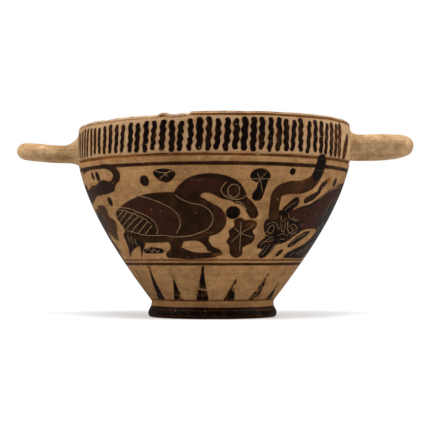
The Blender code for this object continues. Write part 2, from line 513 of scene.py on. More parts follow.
@dataclass
class LipOrnament:
    """The upright wavy strokes of the lip, and the lines above and below them, in mm and degrees.

    Each of the runs is the azimuth of its first stroke, the pitch and the number of strokes.
    """

    low: float = 71.7
    high: float = 86.2
    width: float = 2.72
    bend: float = 1.2
    seam_room: float = 1.7
    left_lower: float = 1.1
    lobe: float = 0.2
    runs: tuple[tuple[float, float, int], ...] = (
        (1.4, 3.44, 11), (40.0, 3.62, 7), (-2.0, -3.6, 15), (-55.9, -3.4, 7), (116.0, 3.68, 35),
        (93.0, 3.7, 2), (-93.2, -3.7, 2),
    )

    def azimuths(self) -> list[float]:
        """Azimuths of the strokes, in the order in which they are painted."""
        places = [first + pitch * k for first, pitch, count in self.runs for k in range(count)]
        return [on_map(azimuth) for azimuth in places if abs(azimuth - SEAM_DEG) >= self.seam_room]

    def draw(self, drawing: Drawing) -> None:
        """Paints the lip."""
        dice = drawing.dice
        drawing.band(86.8, 87.7, 0.45, 0.3, 0.25)
        for azimuth in self.azimuths():
            front_left = -90 < azimuth < 0
            left = 1 - smooth_step(-60, -22, azimuth) if front_left else 0.0
            worn = smooth_step(38, 62, azimuth) if azimuth > 0 else 0.0
            spread = 1 + 0.55 * smooth_step(48, 76, azimuth) if abs(azimuth) < 90 else 0.86
            spread *= 1 - 0.14 * smooth_step(-20, -40, azimuth) if front_left else 1.0
            width = (self.width + dice.uniform(-0.35, 0.3)) * spread
            lean = dice.uniform(-0.4, 0.3) - 0.25
            bottom = self.low + dice.uniform(-0.5, 0.5)
            lower = self.left_lower * smooth_step(0, 18, -azimuth) if azimuth > -90 else 0.0
            top = self.high + dice.uniform(-0.5, 0.5) - lower
            points = [
                (azimuth + lean, bottom + self.bend),
                (azimuth + dice.uniform(-0.3, 0.3), (bottom + top) / 2),
                (azimuth - lean * 0.4, top - self.bend),
            ]
            tone = 0.08 * left + 0.16 * worn + dice.uniform(0, 0.07)
            drawing.brush(
                points, [width * 0.92, width, width * 1.02, width * 0.96], tone=tone,
                loss=0.1 + 0.2 * worn + dice.uniform(0, 0.14), waves=dice.uniform(3.2, 4.4),
                lobes=self.lobe * (1 - left * 0.6),
            )
        drawing.brush([(66.6, 72.4), (68.6, 76), (71.6, 80.8)], [4.4, 5.6, 4.4], tone=0.2, loss=0.36)
        # A thin dark line just under the worn part of the lip, a painted shadow of the chipped edge.
        drawing.brush(
            [(-82, 86.9), (-52, 86.7), (-30, 86.9), (-12, 86.8)], [0.4, 0.6, 0.4, 0.5], tone=0.5,
            loss=0.5,
        )
        drawing.band(69.8, 71.1, 0.85, 0.25, 0.35)
        drawing.brush([(4, 70.3), (40, 70.2), (86, 70.3)], [0.7, 1.2, 1.3], tone=0.5, loss=0.2)
        drawing.brush([(-32, 70.8), (-22, 70.9), (-9, 70.8)], [0.5, 0.9, 0.5], tone=0.3, loss=0.5)
        drawing.oval(-10.2, 78.0, 0.6, 0.5, finish=Finish.CLAY)
        drawing.oval(17.2, 70.6, 1.2, 0.5, -20, finish=Finish.CLAY)
        drawing.band(66.0, 67.6, 0.14, 0.15)


@dataclass
class FootOrnament:
    """The rays round the foot of the bowl, the lines above them and the black ring foot.

    Each ray in front is its azimuth, its lean, the height of its tip and how much of it has flaked.
    """

    ray_base: float = 8.4
    half_width: float = 5.3
    front: tuple[tuple[float, float, float, float], ...] = (
        (-52.0, 7.0, 23.6, 0.46),
        (-31.0, 2.8, 19.2, 0.52),
        (-8.8, 2.8, 24.4, 0.47),
        (14.4, 2.4, 18.8, 0.58),
        (39.2, 2.4, 22.6, 0.62),
        (60.4, -1.5, 16.4, 0.45),
    )

    def ray(self, drawing: Drawing, azimuth: float, lean: float, tip: float, worn: float) -> None:
        """Paints one ray, whose point stands to the side of its base by lean."""
        dice = drawing.dice
        w = self.half_width + dice.uniform(-0.4, 0.6)
        low, high = self.ray_base, tip - self.ray_base
        sides = []
        for side in (1, -1):
            for share, wide in ((0.22, 0.72), (0.48, 0.4), (0.74, 0.2)):
                sides.append((azimuth + side * w * wide + lean * share, low + high * share))
            sides.append((azimuth + side * 0.45 + lean, tip))
        left = sides[4:][::-1]
        drawing.blob(
            [(azimuth - w, low), (azimuth - w, low), (azimuth, low - 0.15), (azimuth + w, low),
             (azimuth + w, low), *sides[:4], *left],
            tone=0.02, loss=worn,
        )

    def draw(self, drawing: Drawing) -> None:
        """Paints the lower part of the cup."""
        drawing.band(59.9, 60.08, 0.8, 0.55, 0.2)
        drawing.band(53.7, 53.85, 0.8, 0.6, 0.2)
        back = [(86 + 24.4 * k, 2.0, (22.8, 18.8)[k % 2], 0.5) for k in range(9)]
        for azimuth, lean, tip, worn in (*self.front, *back):
            self.ray(drawing, on_map(azimuth), lean, tip, worn)
        drawing.brush([(-46.4, 22.6), (-46, 23.9)], [0.6, 0.7], tone=0.2, loss=0.2)
        drawing.band(25.9, 26.5, 0.35, 0.25)
        drawing.band(23.8, 25.0, 0.2, 0.2)
        drawing.band(7.9, 8.5, 0.3, 0.3)
        drawing.band(0.3, 5.2, 0.07, 0.26)
        # Two thin paler bands on the black foot, painted highlights along its curves.
        drawing.band(3.7, 4.0, 0.36, 0.4, 0.2)
        drawing.band(1.1, 1.4, 0.3, 0.4, 0.2)


@dataclass
class WaterBird:
    """A plump long-necked water bird that looks to the right, about a point between its feet."""

    def draw(self, drawing: Drawing) -> None:
        """Paints and incises the bird."""
        self.body(drawing)
        self.neck(drawing)
        self.feathers(drawing)

    def body(self, drawing: Drawing) -> None:
        """Its body, tail and legs."""
        tone = 0.14
        drawing.blob(
            [(-33.4, 12), (-35.4, 8), (-36.6, 4.8), (-42.4, 0.4), (-42.4, 0.4), (-33.8, 3.9),
             (-27.4, 5.8), (-24.8, 6), (-28.8, 0.4), (-28.8, 0.4), (-21.4, 5.6), (-17.3, 8.2), (-12, 8.8),
             (-22, 13)],
            tone=0.1, loss=0.4,
        )
        drawing.blob(
            [(-31, 21.8), (-31, 21.8), (-21, 25.6), (-10, 28.4), (1, 29), (8, 28.5), (16, 26.3),
             (23, 22.5), (26, 18.5), (25.8, 14.8), (23, 11.8), (18, 10.2), (12, 8.4), (3, 8.2), (-8, 7.8),
             (-19, 7.8), (-27, 9), (-33, 10), (-31, 13.6), (-32.6, 17), (-33, 20)],
            tone=tone,
        )
        drawing.brush([(0, 9.4), (-0.4, 6), (-2, 3.4)], [8.5, 5.2, 4.8], tone=0.18, loss=0.3)
        drawing.blob(
            [(-8.1, 2.5), (-5.8, 4.2), (-3.3, 5), (0.4, 5.8), (3.6, 5.4), (8.7, 3.8), (15.2, 3.4),
             (21.4, 3.8), (24.6, 4.2), (25, 3), (21.5, 1.5), (13.9, 0.8), (5.7, 0.5), (-1.3, 0.9),
             (-7.4, 1.3)],
            tone=0.14, loss=0.3,
        )
        drawing.oval(22.6, 2.7, 2.6, 0.9, 4, tone=0.5, loss=0.3)
        drawing.brush([(14.5, 10.5), (15.5, 7.6), (19, 5), (23, 4.2)], [6, 4.2, 3.2, 2.2], tone=0.16)
        drawing.blob(
            [(3.2, 6.2), (5.2, 7.9), (10.5, 8.5), (14, 7.5), (16.6, 4.8), (15.3, 4), (8.8, 4), (4.6, 5)],
            Finish.CLAY,
        )
        drawing.blob(
            [(-26, 9.8), (-10, 9.8), (4, 10), (14, 11.6), (20.6, 12.4), (18, 10.8), (12, 9), (3, 8.8),
             (-8, 8.3), (-19, 8.3)],
            tone=0.22,
        )

    def neck(self, drawing: Drawing) -> None:
        """Its bent neck with the head and beak, and the reserved wedge under it."""
        drawing.blob(
            [(2, 27), (3.6, 29.5), (5.4, 31.6), (10, 34.9), (17, 36.6), (24.5, 35.8), (30.5, 32.9),
             (33.6, 29), (34.4, 27), (37.2, 24.8), (39.4, 21.8), (40, 19), (38, 18), (38, 18), (36, 20.4),
             (32.6, 23.2), (29, 24.4), (25, 25.4), (20, 27.2), (15, 27), (9, 25)],
            tone=0.12,
        )
        drawing.brush([(35.4, 23.6), (37.7, 21), (38.9, 19.4)], [4.2, 4.8, 4.4], tone=0.12)
        drawing.blob(
            [(8.2, 31.8), (11, 33.8), (16.4, 34.8), (21.6, 34.3), (23, 32.6), (18.6, 29.8), (14, 29.7),
             (9.3, 28), (7.4, 28.8)],
            Finish.RED, tone=0.05,
        )
        drawing.blob(
            [(18.4, 24.8), (22, 22.6), (24.5, 20), (24.2, 16.8), (22.4, 15.4), (21.4, 19.2),
             (19.4, 22.8)],
            Finish.RED, tone=0.05,
        )
        drawing.blob(
            [(14.5, 27.6), (14.5, 27.6), (16, 28.5), (19, 28.2), (23, 26.2), (29, 24.2), (25.6, 22),
             (22.6, 22.7), (17.5, 25.4)],
            Finish.CLAY,
        )
        drawing.oval(28.5, 29.3, 1.7, 1.7, finish=Finish.RED, tone=0.1, loss=0.2)
        drawing.ring(28.4, 29.3, 2.75)
        drawing.cut(
            [(25.4, 33.2), (23.5, 31), (23.2, 29.2), (25, 27.2), (29, 25.8), (32.4, 26.3), (34, 27.6)],
            [(29.4, 25), (32.4, 24.2), (35, 21.4)],
        )

    def feathers(self, drawing: Drawing) -> None:
        """The purple-red panel on its wing and every incised feather line."""
        drawing.blob(
            [(-29, 23.6), (-20.5, 22.4), (-12.8, 19.4), (-8.6, 15.6), (-8.6, 13), (-10, 11.2),
             (-10, 11.2), (-5, 10.8), (1.3, 11.6), (1.3, 11.6), (3.6, 14.2), (4.2, 17), (3.3, 19.8),
             (1, 22.2), (-3.2, 24.3), (-8, 26.2), (-14.8, 28), (-14.8, 28), (-21, 25.9)],
            Finish.RED, tone=0.1, loss=0.2,
        )
        drawing.cut(
            [(-29.4, 23.4), (-25, 22.9), (-20.5, 22.2), (-16.5, 20.7), (-12.7, 19.2), (-10, 17.5),
             (-8.7, 15.5), (-8.6, 13), (-10, 11.2)],
            [(-29.7, 22), (-25.6, 21.8), (-20.8, 20.4), (-17, 19.2), (-13.8, 17.6), (-11.7, 15.7)],
            [(-30, 13.2), (-25.7, 12.6), (-19.6, 11.3), (-14, 10.8), (-5, 10.8), (-1, 10.2), (4.4, 10.3),
             (9.5, 10.9), (15.4, 12.5)],
            [(-14.8, 28), (-12, 27.3), (-8, 26.2), (-3.2, 24.3), (1, 22.2), (3.3, 19.8), (4.2, 17),
             (3.6, 14.2), (1.3, 11.6)],
            [(3.6, 27.8), (5.5, 26.3), (7.5, 25.3), (11.2, 24.1), (15, 23.3), (17.8, 21.7), (19.6, 19.3),
             (19.8, 17), (18.2, 14.1), (15.4, 12.5)],
            [(-26.4, 21.5), (-32.3, 19)], [(-23.4, 21.2), (-32.2, 17)], [(-20.4, 20.1), (-31.6, 15)],
            [(-17.4, 19.1), (-29.8, 13.6)], [(-15, 18), (-26, 12.6)], [(-12.9, 16.8), (-21.6, 11.8)],
            [(-11, 15.2), (-17, 11.4)], [(-31, 11), (-31.6, 8)], [(-28.6, 10.6), (-29.6, 7)],
            [(-26, 9.8), (-27, 6.4)],
        )


@dataclass
class Goat:
    """A goat with long horns that walks to the left with its head down."""

    fine_line: float = 0.72

    def draw(self, drawing: Drawing) -> None:
        """Paints and incises the goat."""
        self.body(drawing)
        self.head(drawing)
        self.coat(drawing)

    def body(self, drawing: Drawing) -> None:
        """Its trunk, four legs and tail."""
        tone = 0.1
        drawing.blob(
            [(-13, 20), (-8, 23), (-1.8, 24.6), (4, 27.6), (9.8, 30.8), (16.5, 32.8), (25, 34.6),
             (34, 30), (28, 18), (16, 14.4), (8, 14), (0.6, 13), (-6, 14)],
            tone=tone,
        )
        drawing.blob(
            [(25, 34.4), (40, 36.4), (56, 34.6), (70, 33), (79, 28), (80, 20), (75, 14), (62, 16),
             (48, 15.4), (36, 14), (26, 13.6), (18, 13), (15, 17.5), (20, 23), (22, 29)],
            tone=tone,
        )
        legs = (
            [(44, 20), (44, 11), (40, 5), (36, 2)],
            [(66, 20), (64, 11), (69, 6), (65, 2)],
            [(74, 22), (75, 12), (79, 6), (75, 2)],
        )
        for leg in legs:
            drawing.brush(leg, [10, 6.5, 4.5, 4], tone=tone)
        drawing.blob(
            [(11, 16.5), (16.8, 13), (16.2, 11), (14.3, 9.2), (10.3, 7.2), (4.8, 5.6), (1, 4.4),
             (-2.8, 2.8), (-3, 1.4), (4, 1), (14, 0.9), (24, 1.2), (31, 4), (34, 9), (37, 18), (32, 24),
             (20, 22)],
            tone=0.05, loss=0.36,
        )
        drawing.brush([(77, 30), (80.5, 25), (80, 20)], [2.5, 3, 1.4], tone=tone)

    def head(self, drawing: Drawing) -> None:
        """Its lowered head, ear and swept-back horn."""
        tone = 0.08
        drawing.blob(
            [(-23, 18.4), (-24.6, 17.4), (-25, 15.6), (-24, 12.8), (-22.2, 10.6), (-23.8, 8.8),
             (-25.6, 6.5), (-24.4, 5.2), (-22, 5), (-23, 2.4), (-21.5, 1.2), (-18.6, 1.2), (-16.2, 2.6),
             (-14.4, 5), (-13.6, 6.6), (-9.6, 7.4), (-5.2, 9), (-1, 11.2), (1, 13.6), (1, 19), (-3, 23),
             (-9, 22), (-14, 21.5), (-19, 21.5)],
            tone=tone,
        )
        drawing.brush(
            [(-21, 19), (-22, 24), (-21.6, 29), (-17, 31), (-10, 31.6), (-4.5, 34), (-2, 38.5),
             (-1.6, 44)],
            [5.6, 5.2, 5.6, 6.0, 6.3, 6.7, 6.7, 6.3], tone=0.24,
        )
        drawing.brush([(-3, 36.6), (-1.9, 40), (-1.6, 43.8)], [5.6, 6.6, 6.3], tone=0.02)
        drawing.blob(
            [(-17.6, 22.2), (-15.4, 24.3), (-12.6, 27), (-10.6, 27.4), (-9, 26), (-9, 24), (-11, 22.2),
             (-13.4, 20.2)],
            tone=tone,
        )
        drawing.ring(-20.2, 13.4, 1.8)
        drawing.cut(
            [(-17.6, 22.2), (-15.4, 24.3), (-12.6, 27), (-10.6, 27.4), (-9, 26), (-9, 24), (-11, 22.2),
             (-13.4, 20.2)],
            [(-16, 21.6), (-12.5, 24.4), (-10.5, 25)],
            [(-23.6, 14.8), (-22.6, 15.8), (-20, 16.4), (-17.6, 15.4), (-15.5, 13)],
            [(-24.2, 6.1), (-21.3, 8.5), (-17.8, 10.5)], [(-17.4, 1.4), (-15.6, 4.6), (-14.2, 7.4)],
            [(-13.2, 20.4), (-11.7, 18.5), (-8.3, 17.7), (-3.7, 18.6), (-0.4, 17.1), (-1.3, 14.7)],
            [(-11.2, 16.5), (-10.4, 14.1), (-7.8, 12.2), (-1.9, 11.9)],
            [(-10.8, 14), (-7, 15.8), (-3, 13.6)], [(-17, 19.6), (-15.4, 17), (-13, 18.4)],
            [(-14.6, 15.8), (-13, 12.6), (-11.4, 14.6)], [(-24.6, 12.6), (-22.6, 11.2), (-19.6, 10.4)],
            [(-22.6, 8.4), (-19, 8.2), (-16.4, 9.2)], [(-20.6, 2), (-19, 4.4), (-17.8, 7)],
            [(-22.4, 2.4), (-21, 4.8), (-20.4, 6.6)], [(-9.4, 10.4), (-5.6, 13.2)],
            [(-7, 19.2), (-4, 17)], [(-6.4, 10.2), (-2.6, 13)], [(-11, 20.5), (-9, 18.5), (-6.5, 19.6)],
            [(-9.5, 18), (-6, 17.2), (-4.6, 18.8)], [(-8.2, 14.6), (-5, 13), (-3.2, 14.6)],
            [(-12, 17.4), (-11, 15)], [(-13, 16.6), (-12.4, 14)], [(-15.8, 16.6), (-15.2, 13.6)],
            [(-12.6, 9.4), (-9, 9.2)], [(-3, 19), (-0.6, 20.4), (-0.2, 18.4)],
            [(-15, 10.6), (-12, 11.8), (-9.6, 11)], [(-22, 27), (-20.4, 25.6)],
            [(-23.4, 12.2), (-21.4, 12.4)], share=self.fine_line,
        )

    def coat(self, drawing: Drawing) -> None:
        """The purple-red neck and flank, and the incised lines about them."""
        drawing.blob(
            [(-13.2, 20.6), (-9.8, 22.4), (-3.5, 22.8), (3.4, 25.1), (10.3, 29.2), (17.3, 32.6),
             (24.6, 34), (24.6, 34), (23, 31), (19.4, 28), (16.4, 23.5), (15.2, 19.2), (13.2, 17),
             (11.6, 15), (5, 14.3), (0.6, 13.6), (-1, 16.8), (-6, 18)],
            Finish.RED, tone=0.1, loss=0.2,
        )
        drawing.blob(
            [(44, 33), (58, 31.6), (64, 27), (60, 20), (48, 19), (40, 23), (40, 29)], Finish.RED,
            tone=0.2, loss=0.3,
        )
        drawing.blob(
            [(4.8, 13.8), (11.3, 13), (16, 11.2), (14, 9.3), (10, 7.3), (4.6, 5.8), (0.8, 4.6), (-4.6, 3),
             (-11, 2.2), (-13.2, 4), (-10.4, 6.6), (-6.6, 8.2), (-2.2, 11)],
            Finish.CLAY,
        )
        drawing.cut(
            [(20.4, 28.6), (17.6, 23.6), (16.6, 19)], [(12, 3), (19, 7)], [(8, 2.4), (13, 4.6)],
            [(17, 2.8), (23, 8)], [(2, 1.8), (5, 4)], [(20, 13), (24, 18)], [(22, 11), (25, 14)],
            [(4, 26.8), (9.8, 30), (16.5, 32), (24, 33.4)], [(38, 34), (38, 27), (42, 20), (50, 16.6)],
            [(66, 32), (66.5, 26), (62, 19)], [(30, 30), (33, 24), (33, 18)],
            [(70, 26), (74, 22), (74, 17)],
        )


@dataclass
class BigCat:
    """A prowling big cat with a curled tail that walks to the left, mostly out of sight from the front."""

    def draw(self, drawing: Drawing) -> None:
        """Paints and incises the cat."""
        tone = 0.16
        drawing.blob(
            [(-2, 39.6), (4, 40.6), (11, 41.1), (17, 41.6), (22.9, 41.9), (27.4, 40.9), (30, 38.8),
             (30.5, 36.3), (29.2, 34.2), (27.1, 33.1), (25.8, 31.9), (24.4, 30.3), (21.6, 29.5),
             (16, 28.9), (8, 28.4), (-6, 26), (-7, 32), (-1.4, 31.8), (5.4, 33.2), (11.8, 33.6),
             (15.4, 34.8), (19.4, 35.2), (22.8, 34.4), (24.8, 35.2), (26.1, 36.7), (25.4, 38.4),
             (22.7, 39.7), (18.3, 40.1), (11.7, 40.1), (5, 39.6), (-2, 38.8)],
            tone=0.16, loss=0.25,
        )
        drawing.blob(
            [(-2, 32.5), (-6, 34.4), (-20, 34.4), (-35, 33), (-50, 34), (-62, 35), (-70, 32), (-68, 24),
             (-58, 18), (-42, 16), (-26, 16), (-14, 17), (-9, 21), (-6, 27)],
            tone=tone,
        )
        drawing.blob(
            [(-1, 21.7), (2, 23.8), (8.8, 24.7), (11.9, 24), (12.6, 21.8), (12, 19.4), (16.2, 17.4),
             (15.2, 14.8), (12.4, 12.4), (9.6, 8.6), (8.4, 8.8), (3.6, 9.8), (-1.8, 13.4), (-2.6, 17.2)],
            tone=0.32, loss=0.42,
        )
        legs = (
            [(-2, 20), (-5, 11), (-3, 5), (-6, 1.6)],
            [(-12, 20), (-8, 10), (-10, 4), (-15, 1.8)],
            [(-56, 21), (-56, 11), (-60, 4), (-65, 1.8)],
            [(-66, 26), (-72, 16), (-78, 9), (-82, 6)],
        )
        for leg in legs:
            drawing.brush(leg, [8, 5.6, 4.2, 3.4], tone=tone)
        drawing.blob(
            [(-66, 33), (-67, 37.5), (-69, 40), (-73, 39), (-77, 40), (-80, 37.6), (-81, 32), (-78, 27),
             (-73, 24.6), (-68, 26)],
            tone=tone,
        )
        drawing.blob(
            [(-30, 31), (-20, 31.4), (-12, 28), (-12, 21), (-22, 19), (-32, 21), (-35, 27)], Finish.RED,
            tone=0.1, loss=0.3,
        )
        drawing.ring(-71, 34, 1.3)
        drawing.ring(-77, 34, 1.3)
        drawing.cut(
            [(-74, 34), (-74.2, 30.5), (-75.4, 29.6)], [(-78.5, 28.8), (-74, 27.6), (-70, 28.8)],
            [(-60, 33), (-62, 26), (-58, 21)], [(-66, 32), (-65, 27), (-61, 23)],
            [(-40, 32), (-44, 25), (-42, 18)], [(-5, 33), (-8, 27), (-6, 20)],
            [(1, 30), (-2, 26), (-1, 21)],
        )


@dataclass
class Fillers:
    """The rosettes, dots and dashes that fill the gaps between the animals.

    Each rosette at the back is its azimuth, height and size.
    """

    fine_line: float = 0.72
    petals: int = 5
    back: tuple[tuple[float, float, float], ...] = (
        (83, 33, 3.2), (100, 33, 4.2), (114, 33, 3.0), (100, 63.5, 1.8), (122, 62.5, 2.6), (152, 60, 3.4),
        (198, 56, 3.6), (206, 40, 3.0), (196, 33, 3.4), (142, 33, 2.6), (243, 33, 3.6), (258, 34, 3.8),
        (228, 62, 2.4), (250, 63.5, 1.8),
    )

    def star(self, drawing: Drawing, centre: Point, ends: list[Point]) -> None:
        """Incised lines from one point outwards."""
        drawing.cut(*[[centre, end] for end in ends], share=self.fine_line)

    def rosette(self, drawing: Drawing, azimuth: float, height: float, size: float) -> None:
        """A plain round rosette of petals for the back, with an incised star."""
        azimuth, dice = on_map(azimuth), drawing.dice
        drawing.oval(azimuth, height, size * 0.8, size * 0.75, tone=0.1)
        ends = []
        for k in range(self.petals):
            angle = math.tau * (k + dice.random() * 0.4) / self.petals
            x, y = math.cos(angle), math.sin(angle)
            drawing.oval(
                azimuth + x * size * 0.7, height + y * size * 0.65, size * 0.5, size * 0.45, tone=0.1,
            )
            ends.append((azimuth + x * size * 0.95, height + y * size * 0.9))
        self.star(drawing, (azimuth, height), ends)

    def draw(self, drawing: Drawing) -> None:
        """Paints the fillers in front, then the plainer ones at the back."""
        self.front(drawing)
        for azimuth, height, size in self.back:
            self.rosette(drawing, azimuth, height, size)

    def front(self, drawing: Drawing) -> None:
        """The fillers that show from the front."""
        drawing.blob(
            [(-24.4, 64), (-21, 64.8), (-17, 64.2), (-15.3, 63), (-16.1, 60.9), (-18.7, 59),
             (-21.2, 59.3), (-23.9, 61), (-25, 63)],
            tone=0.08,
        )
        drawing.cut(
            [(-24, 63.8), (-20.4, 63), (-16, 63.7)], [(-17.4, 63.9), (-22.4, 60.6)],
            [(-20.4, 63), (-18.6, 61.4)],
        )
        drawing.oval(-29.4, 59.9, 2.3, 2.5, tone=0.06)
        drawing.oval(-61.7, 63.3, 1.4, 1.9, 14, tone=0.06)
        drawing.oval(-57.2, 62.8, 1.7, 2.3, 16, tone=0.04)
        drawing.oval(-53.4, 51.8, 1.9, 2.2, tone=0.08)
        drawing.brush([(-42, 30), (-36, 30.4), (-30, 30.2)], [2.4, 3.4, 2.6], tone=0.08)
        drawing.cut([(-41, 30.2), (-38.5, 31.2), (-37, 29.6), (-35, 31), (-33.2, 29.6), (-31.4, 30.6)])
        drawing.brush([(-77, 34.2), (-73, 31.6), (-70.6, 30)], [1.8, 3.0, 1.2], tone=0.3, loss=0.3)
        drawing.blob(
            [(14.6, 61.6), (16, 64), (18.8, 64.9), (21.8, 64), (23.5, 61.8), (22.2, 59.4), (19.4, 58.8),
             (16.4, 59.4)],
            tone=0.06,
        )
        drawing.brush([(20.4, 60), (20, 56.4), (18.8, 53.2)], [4.6, 4, 5.4], tone=0.08)
        self.star(
            drawing, (19, 60.4),
            [(15.2, 60.4), (17.4, 63), (21.8, 63.2), (23.0, 60.6), (17.8, 57.4), (21, 55)],
        )
        drawing.oval(33.4, 63.9, 1.6, 1.6, tone=0.04)
        drawing.oval(8.9, 46.3, 3.2, 3.1, tone=0.04)
        drawing.blob(
            [(9.8, 43.2), (12.8, 44.3), (14.8, 43.3), (18, 43.4), (21, 42.4), (21.4, 40.4), (20, 38.6),
             (21.8, 36.6), (21.2, 33.8), (18, 32.4), (16.4, 31.4), (17, 29), (15.2, 27.4), (12, 27.3),
             (9.4, 29.2), (8.6, 32), (7, 34.2), (8.2, 36.4), (7.6, 38.8), (10, 40.6)],
            tone=0.16,
        )
        drawing.oval(18.6, 41.3, 2.6, 1.2, tone=0.34, loss=0.3)
        self.star(
            drawing, (13.8, 37.6), [(10.2, 40), (13.2, 42.6), (20, 41), (20.6, 36), (15, 30), (9.6, 34)],
        )
        drawing.blob(
            [(45.4, 32.2), (47.2, 35), (51, 37.4), (56, 39), (59.6, 38.6), (58.4, 36.8), (54, 34.8),
             (49, 32)],
            tone=0.08,
        )
        drawing.cut([(47, 33.4), (51, 36.2), (56.6, 37.8)])
        drawing.oval(41.4, 29.3, 1.4, 2.3, -35, tone=0.12)
        drawing.oval(56.2, 60.9, 2.4, 1.5, 25, tone=0.8, loss=0.4)
        drawing.brush([(44.9, 52), (48.8, 53.7), (52.6, 56)], [3.2, 3.4, 2.0], tone=0.12, loss=0.32)
        drawing.brush([(51.6, 56.4), (53, 58.4), (55.2, 60.2)], [2.2, 3.4, 2.6], tone=0.1, loss=0.32)
        drawing.oval(63.6, 60.6, 1.9, 2.2, -10, tone=0.08)


@dataclass
class HandleLoop:
    """One horizontal loop handle, a round clay bar that flares into the lip at both roots. Sizes in mm."""

    name: str
    side: int
    stand_out: float
    drop: float
    rise: float
    roll_deg: float
    bar: float = 3.85
    spacing: float = 24.0
    bulge: float = 4.6
    straight: float = 0.42
    set_back_deg: float = 5.0
    flare_above: float = 3.6
    flare_below: float = 1.9
    flare_across: float = 2.1
    flare_length: float = 9.0
    corners: int = 44
    bar_rings: int = 46
    fillet_rings: int = 9
    fillet_ease: float = 1.25
    wall_lead: float = 2.6
    path_steps: int = 60
    unevenness: float = 0.035
    section: Section = field(default_factory=Section)

    def path(self) -> list[Vector]:
        """The bar's middle line from the front root to the rear one."""
        half = self.spacing / 2
        start = math.sqrt(self.section.lip_radius**2 - half**2)
        tip = self.section.lip_radius + self.stand_out - self.bar
        xs = [start, start + (tip - start) * self.straight, tip, tip]
        ys = [half, half + self.bulge, half + self.bulge, 0.0]
        zs = [0.0, 0.0, self.rise, self.rise]
        flat = bezier(list(zip(xs, ys)), self.path_steps)
        lift = bezier(list(zip(xs, zs)), self.path_steps)
        rear = [Vector((p[0], p[1], q[1])) for p, q in zip(flat, lift)]
        line = [Vector((p.x, -p.y, p.z)) for p in rear] + rear[-2::-1]
        roll = math.tan(math.radians(self.roll_deg))
        height = self.section.height - self.drop
        line = [Vector((p.x, p.y, height + p.z + roll * p.y)) for p in line]
        turn = Matrix.Rotation(math.radians(self.set_back_deg), 3, "Z")
        flip = Matrix.Scale(self.side, 3, Vector((1, 0, 0)))
        return [flip @ turn @ p for p in line]

    def stations(self) -> list[Vector]:
        """Points of the middle line: its two ends and even steps along the plain bar between the flares."""
        line = self.path()
        lengths = [0.0]
        for a, b in zip(line, line[1:]):
            lengths.append(lengths[-1] + (b - a).length)
        stops = np.linspace(self.flare_length, lengths[-1] - self.flare_length, self.bar_rings)
        points = []
        for stop in [0.0, *stops, lengths[-1]]:
            places = [float(np.interp(stop, lengths, [p[k] for p in line])) for k in range(3)]
            points.append(Vector(places))
        return points

    def ring(self, centre: Vector, along: Vector, above: float, below: float, wide: float) -> list[Vector]:
        """Corners of the bar round one point of its middle line."""
        up = (Vector((0, 0, 1)) - along * along.z).normalized()
        across = along.cross(up)
        out = []
        for i in range(self.corners):
            angle = math.tau * i / self.corners
            sine, cosine = math.sin(angle), math.cos(angle)
            tall = above if sine > 0 else below
            rough = 1 + self.unevenness * noise.noise(centre * 0.11 + up * sine + across * cosine)
            out.append(centre + (up * tall * sine + across * wide * cosine) * rough)
        return out

    def on_wall(self, point: Vector) -> Vector:
        """The point moved straight in or out to the cup's outside."""
        reach = self.section.radius(self.section.climb(point.z))
        flat = self.outward(point) * float(reach)
        return Vector((flat.x, flat.y, point.z))

    def root(self, centre: Vector, along: Vector) -> list[Vector]:
        """The outline on the cup's outside where the handle's flare begins."""
        b = self.bar
        ring = self.ring(centre, along, b + self.flare_above, b + self.flare_below, b + self.flare_across)
        return [self.on_wall(p) for p in ring]

    def rings(self) -> list[list[Vector]]:
        """Every ring of the handle, from just off the wall to just off it again."""
        points = self.stations()
        bars = []
        for i in range(1, len(points) - 1):
            along = (points[i + 1] - points[i - 1]).normalized()
            bars.append(self.ring(points[i], along, self.bar, self.bar, self.bar))
        first = self.fillet(points[0], points[1], points[2], bars[0])
        last = self.fillet(points[-1], points[-2], points[-3], bars[-1], True)
        return first + bars + last[::-1]

    def wall_outlines(self) -> list[list[Vector]]:
        """The outlines of both roots on the cup's outside."""
        points = self.stations()
        first, last = points[0], points[-1]
        return [self.root(first, self.outward(first)), self.root(last, -self.outward(last))]

    def outward(self, point: Vector) -> Vector:
        """The level direction away from the cup's axis."""
        return Vector((point.x, point.y, 0.0)).normalized()

    def fillet(self, centre: Vector, near: Vector, far: Vector, bar: list[Vector],
               back: bool = False) -> list[list[Vector]]:
        """Rings of the hollow curve by which the bar spreads into the wall.

        Args:
            centre: Where the middle line meets the wall.
            near: The first point of the plain bar.
            far: The next point of the plain bar.
            bar: The plain bar's first ring.
            back: Whether this is the end of the middle line, which runs into the wall there.

        Returns:
            Rings from just off the wall up to just before the plain bar.
        """
        out = self.outward(centre)
        edge = self.root(centre, -out if back else out)
        heading = (far - near).normalized()
        rings = []
        for k in range(1, self.fillet_rings):
            t = (k / self.fillet_rings) ** self.fillet_ease
            ring = []
            for start, end in zip(edge, bar):
                inward = self.on_wall(centre) - start
                leave = start + inward.normalized() * min(self.wall_lead, inward.length * 0.4)
                arrive = end - heading * self.flare_length * 0.5
                ring.append(cubic(start, leave, arrive, end, t))
            rings.append(ring)
        return rings


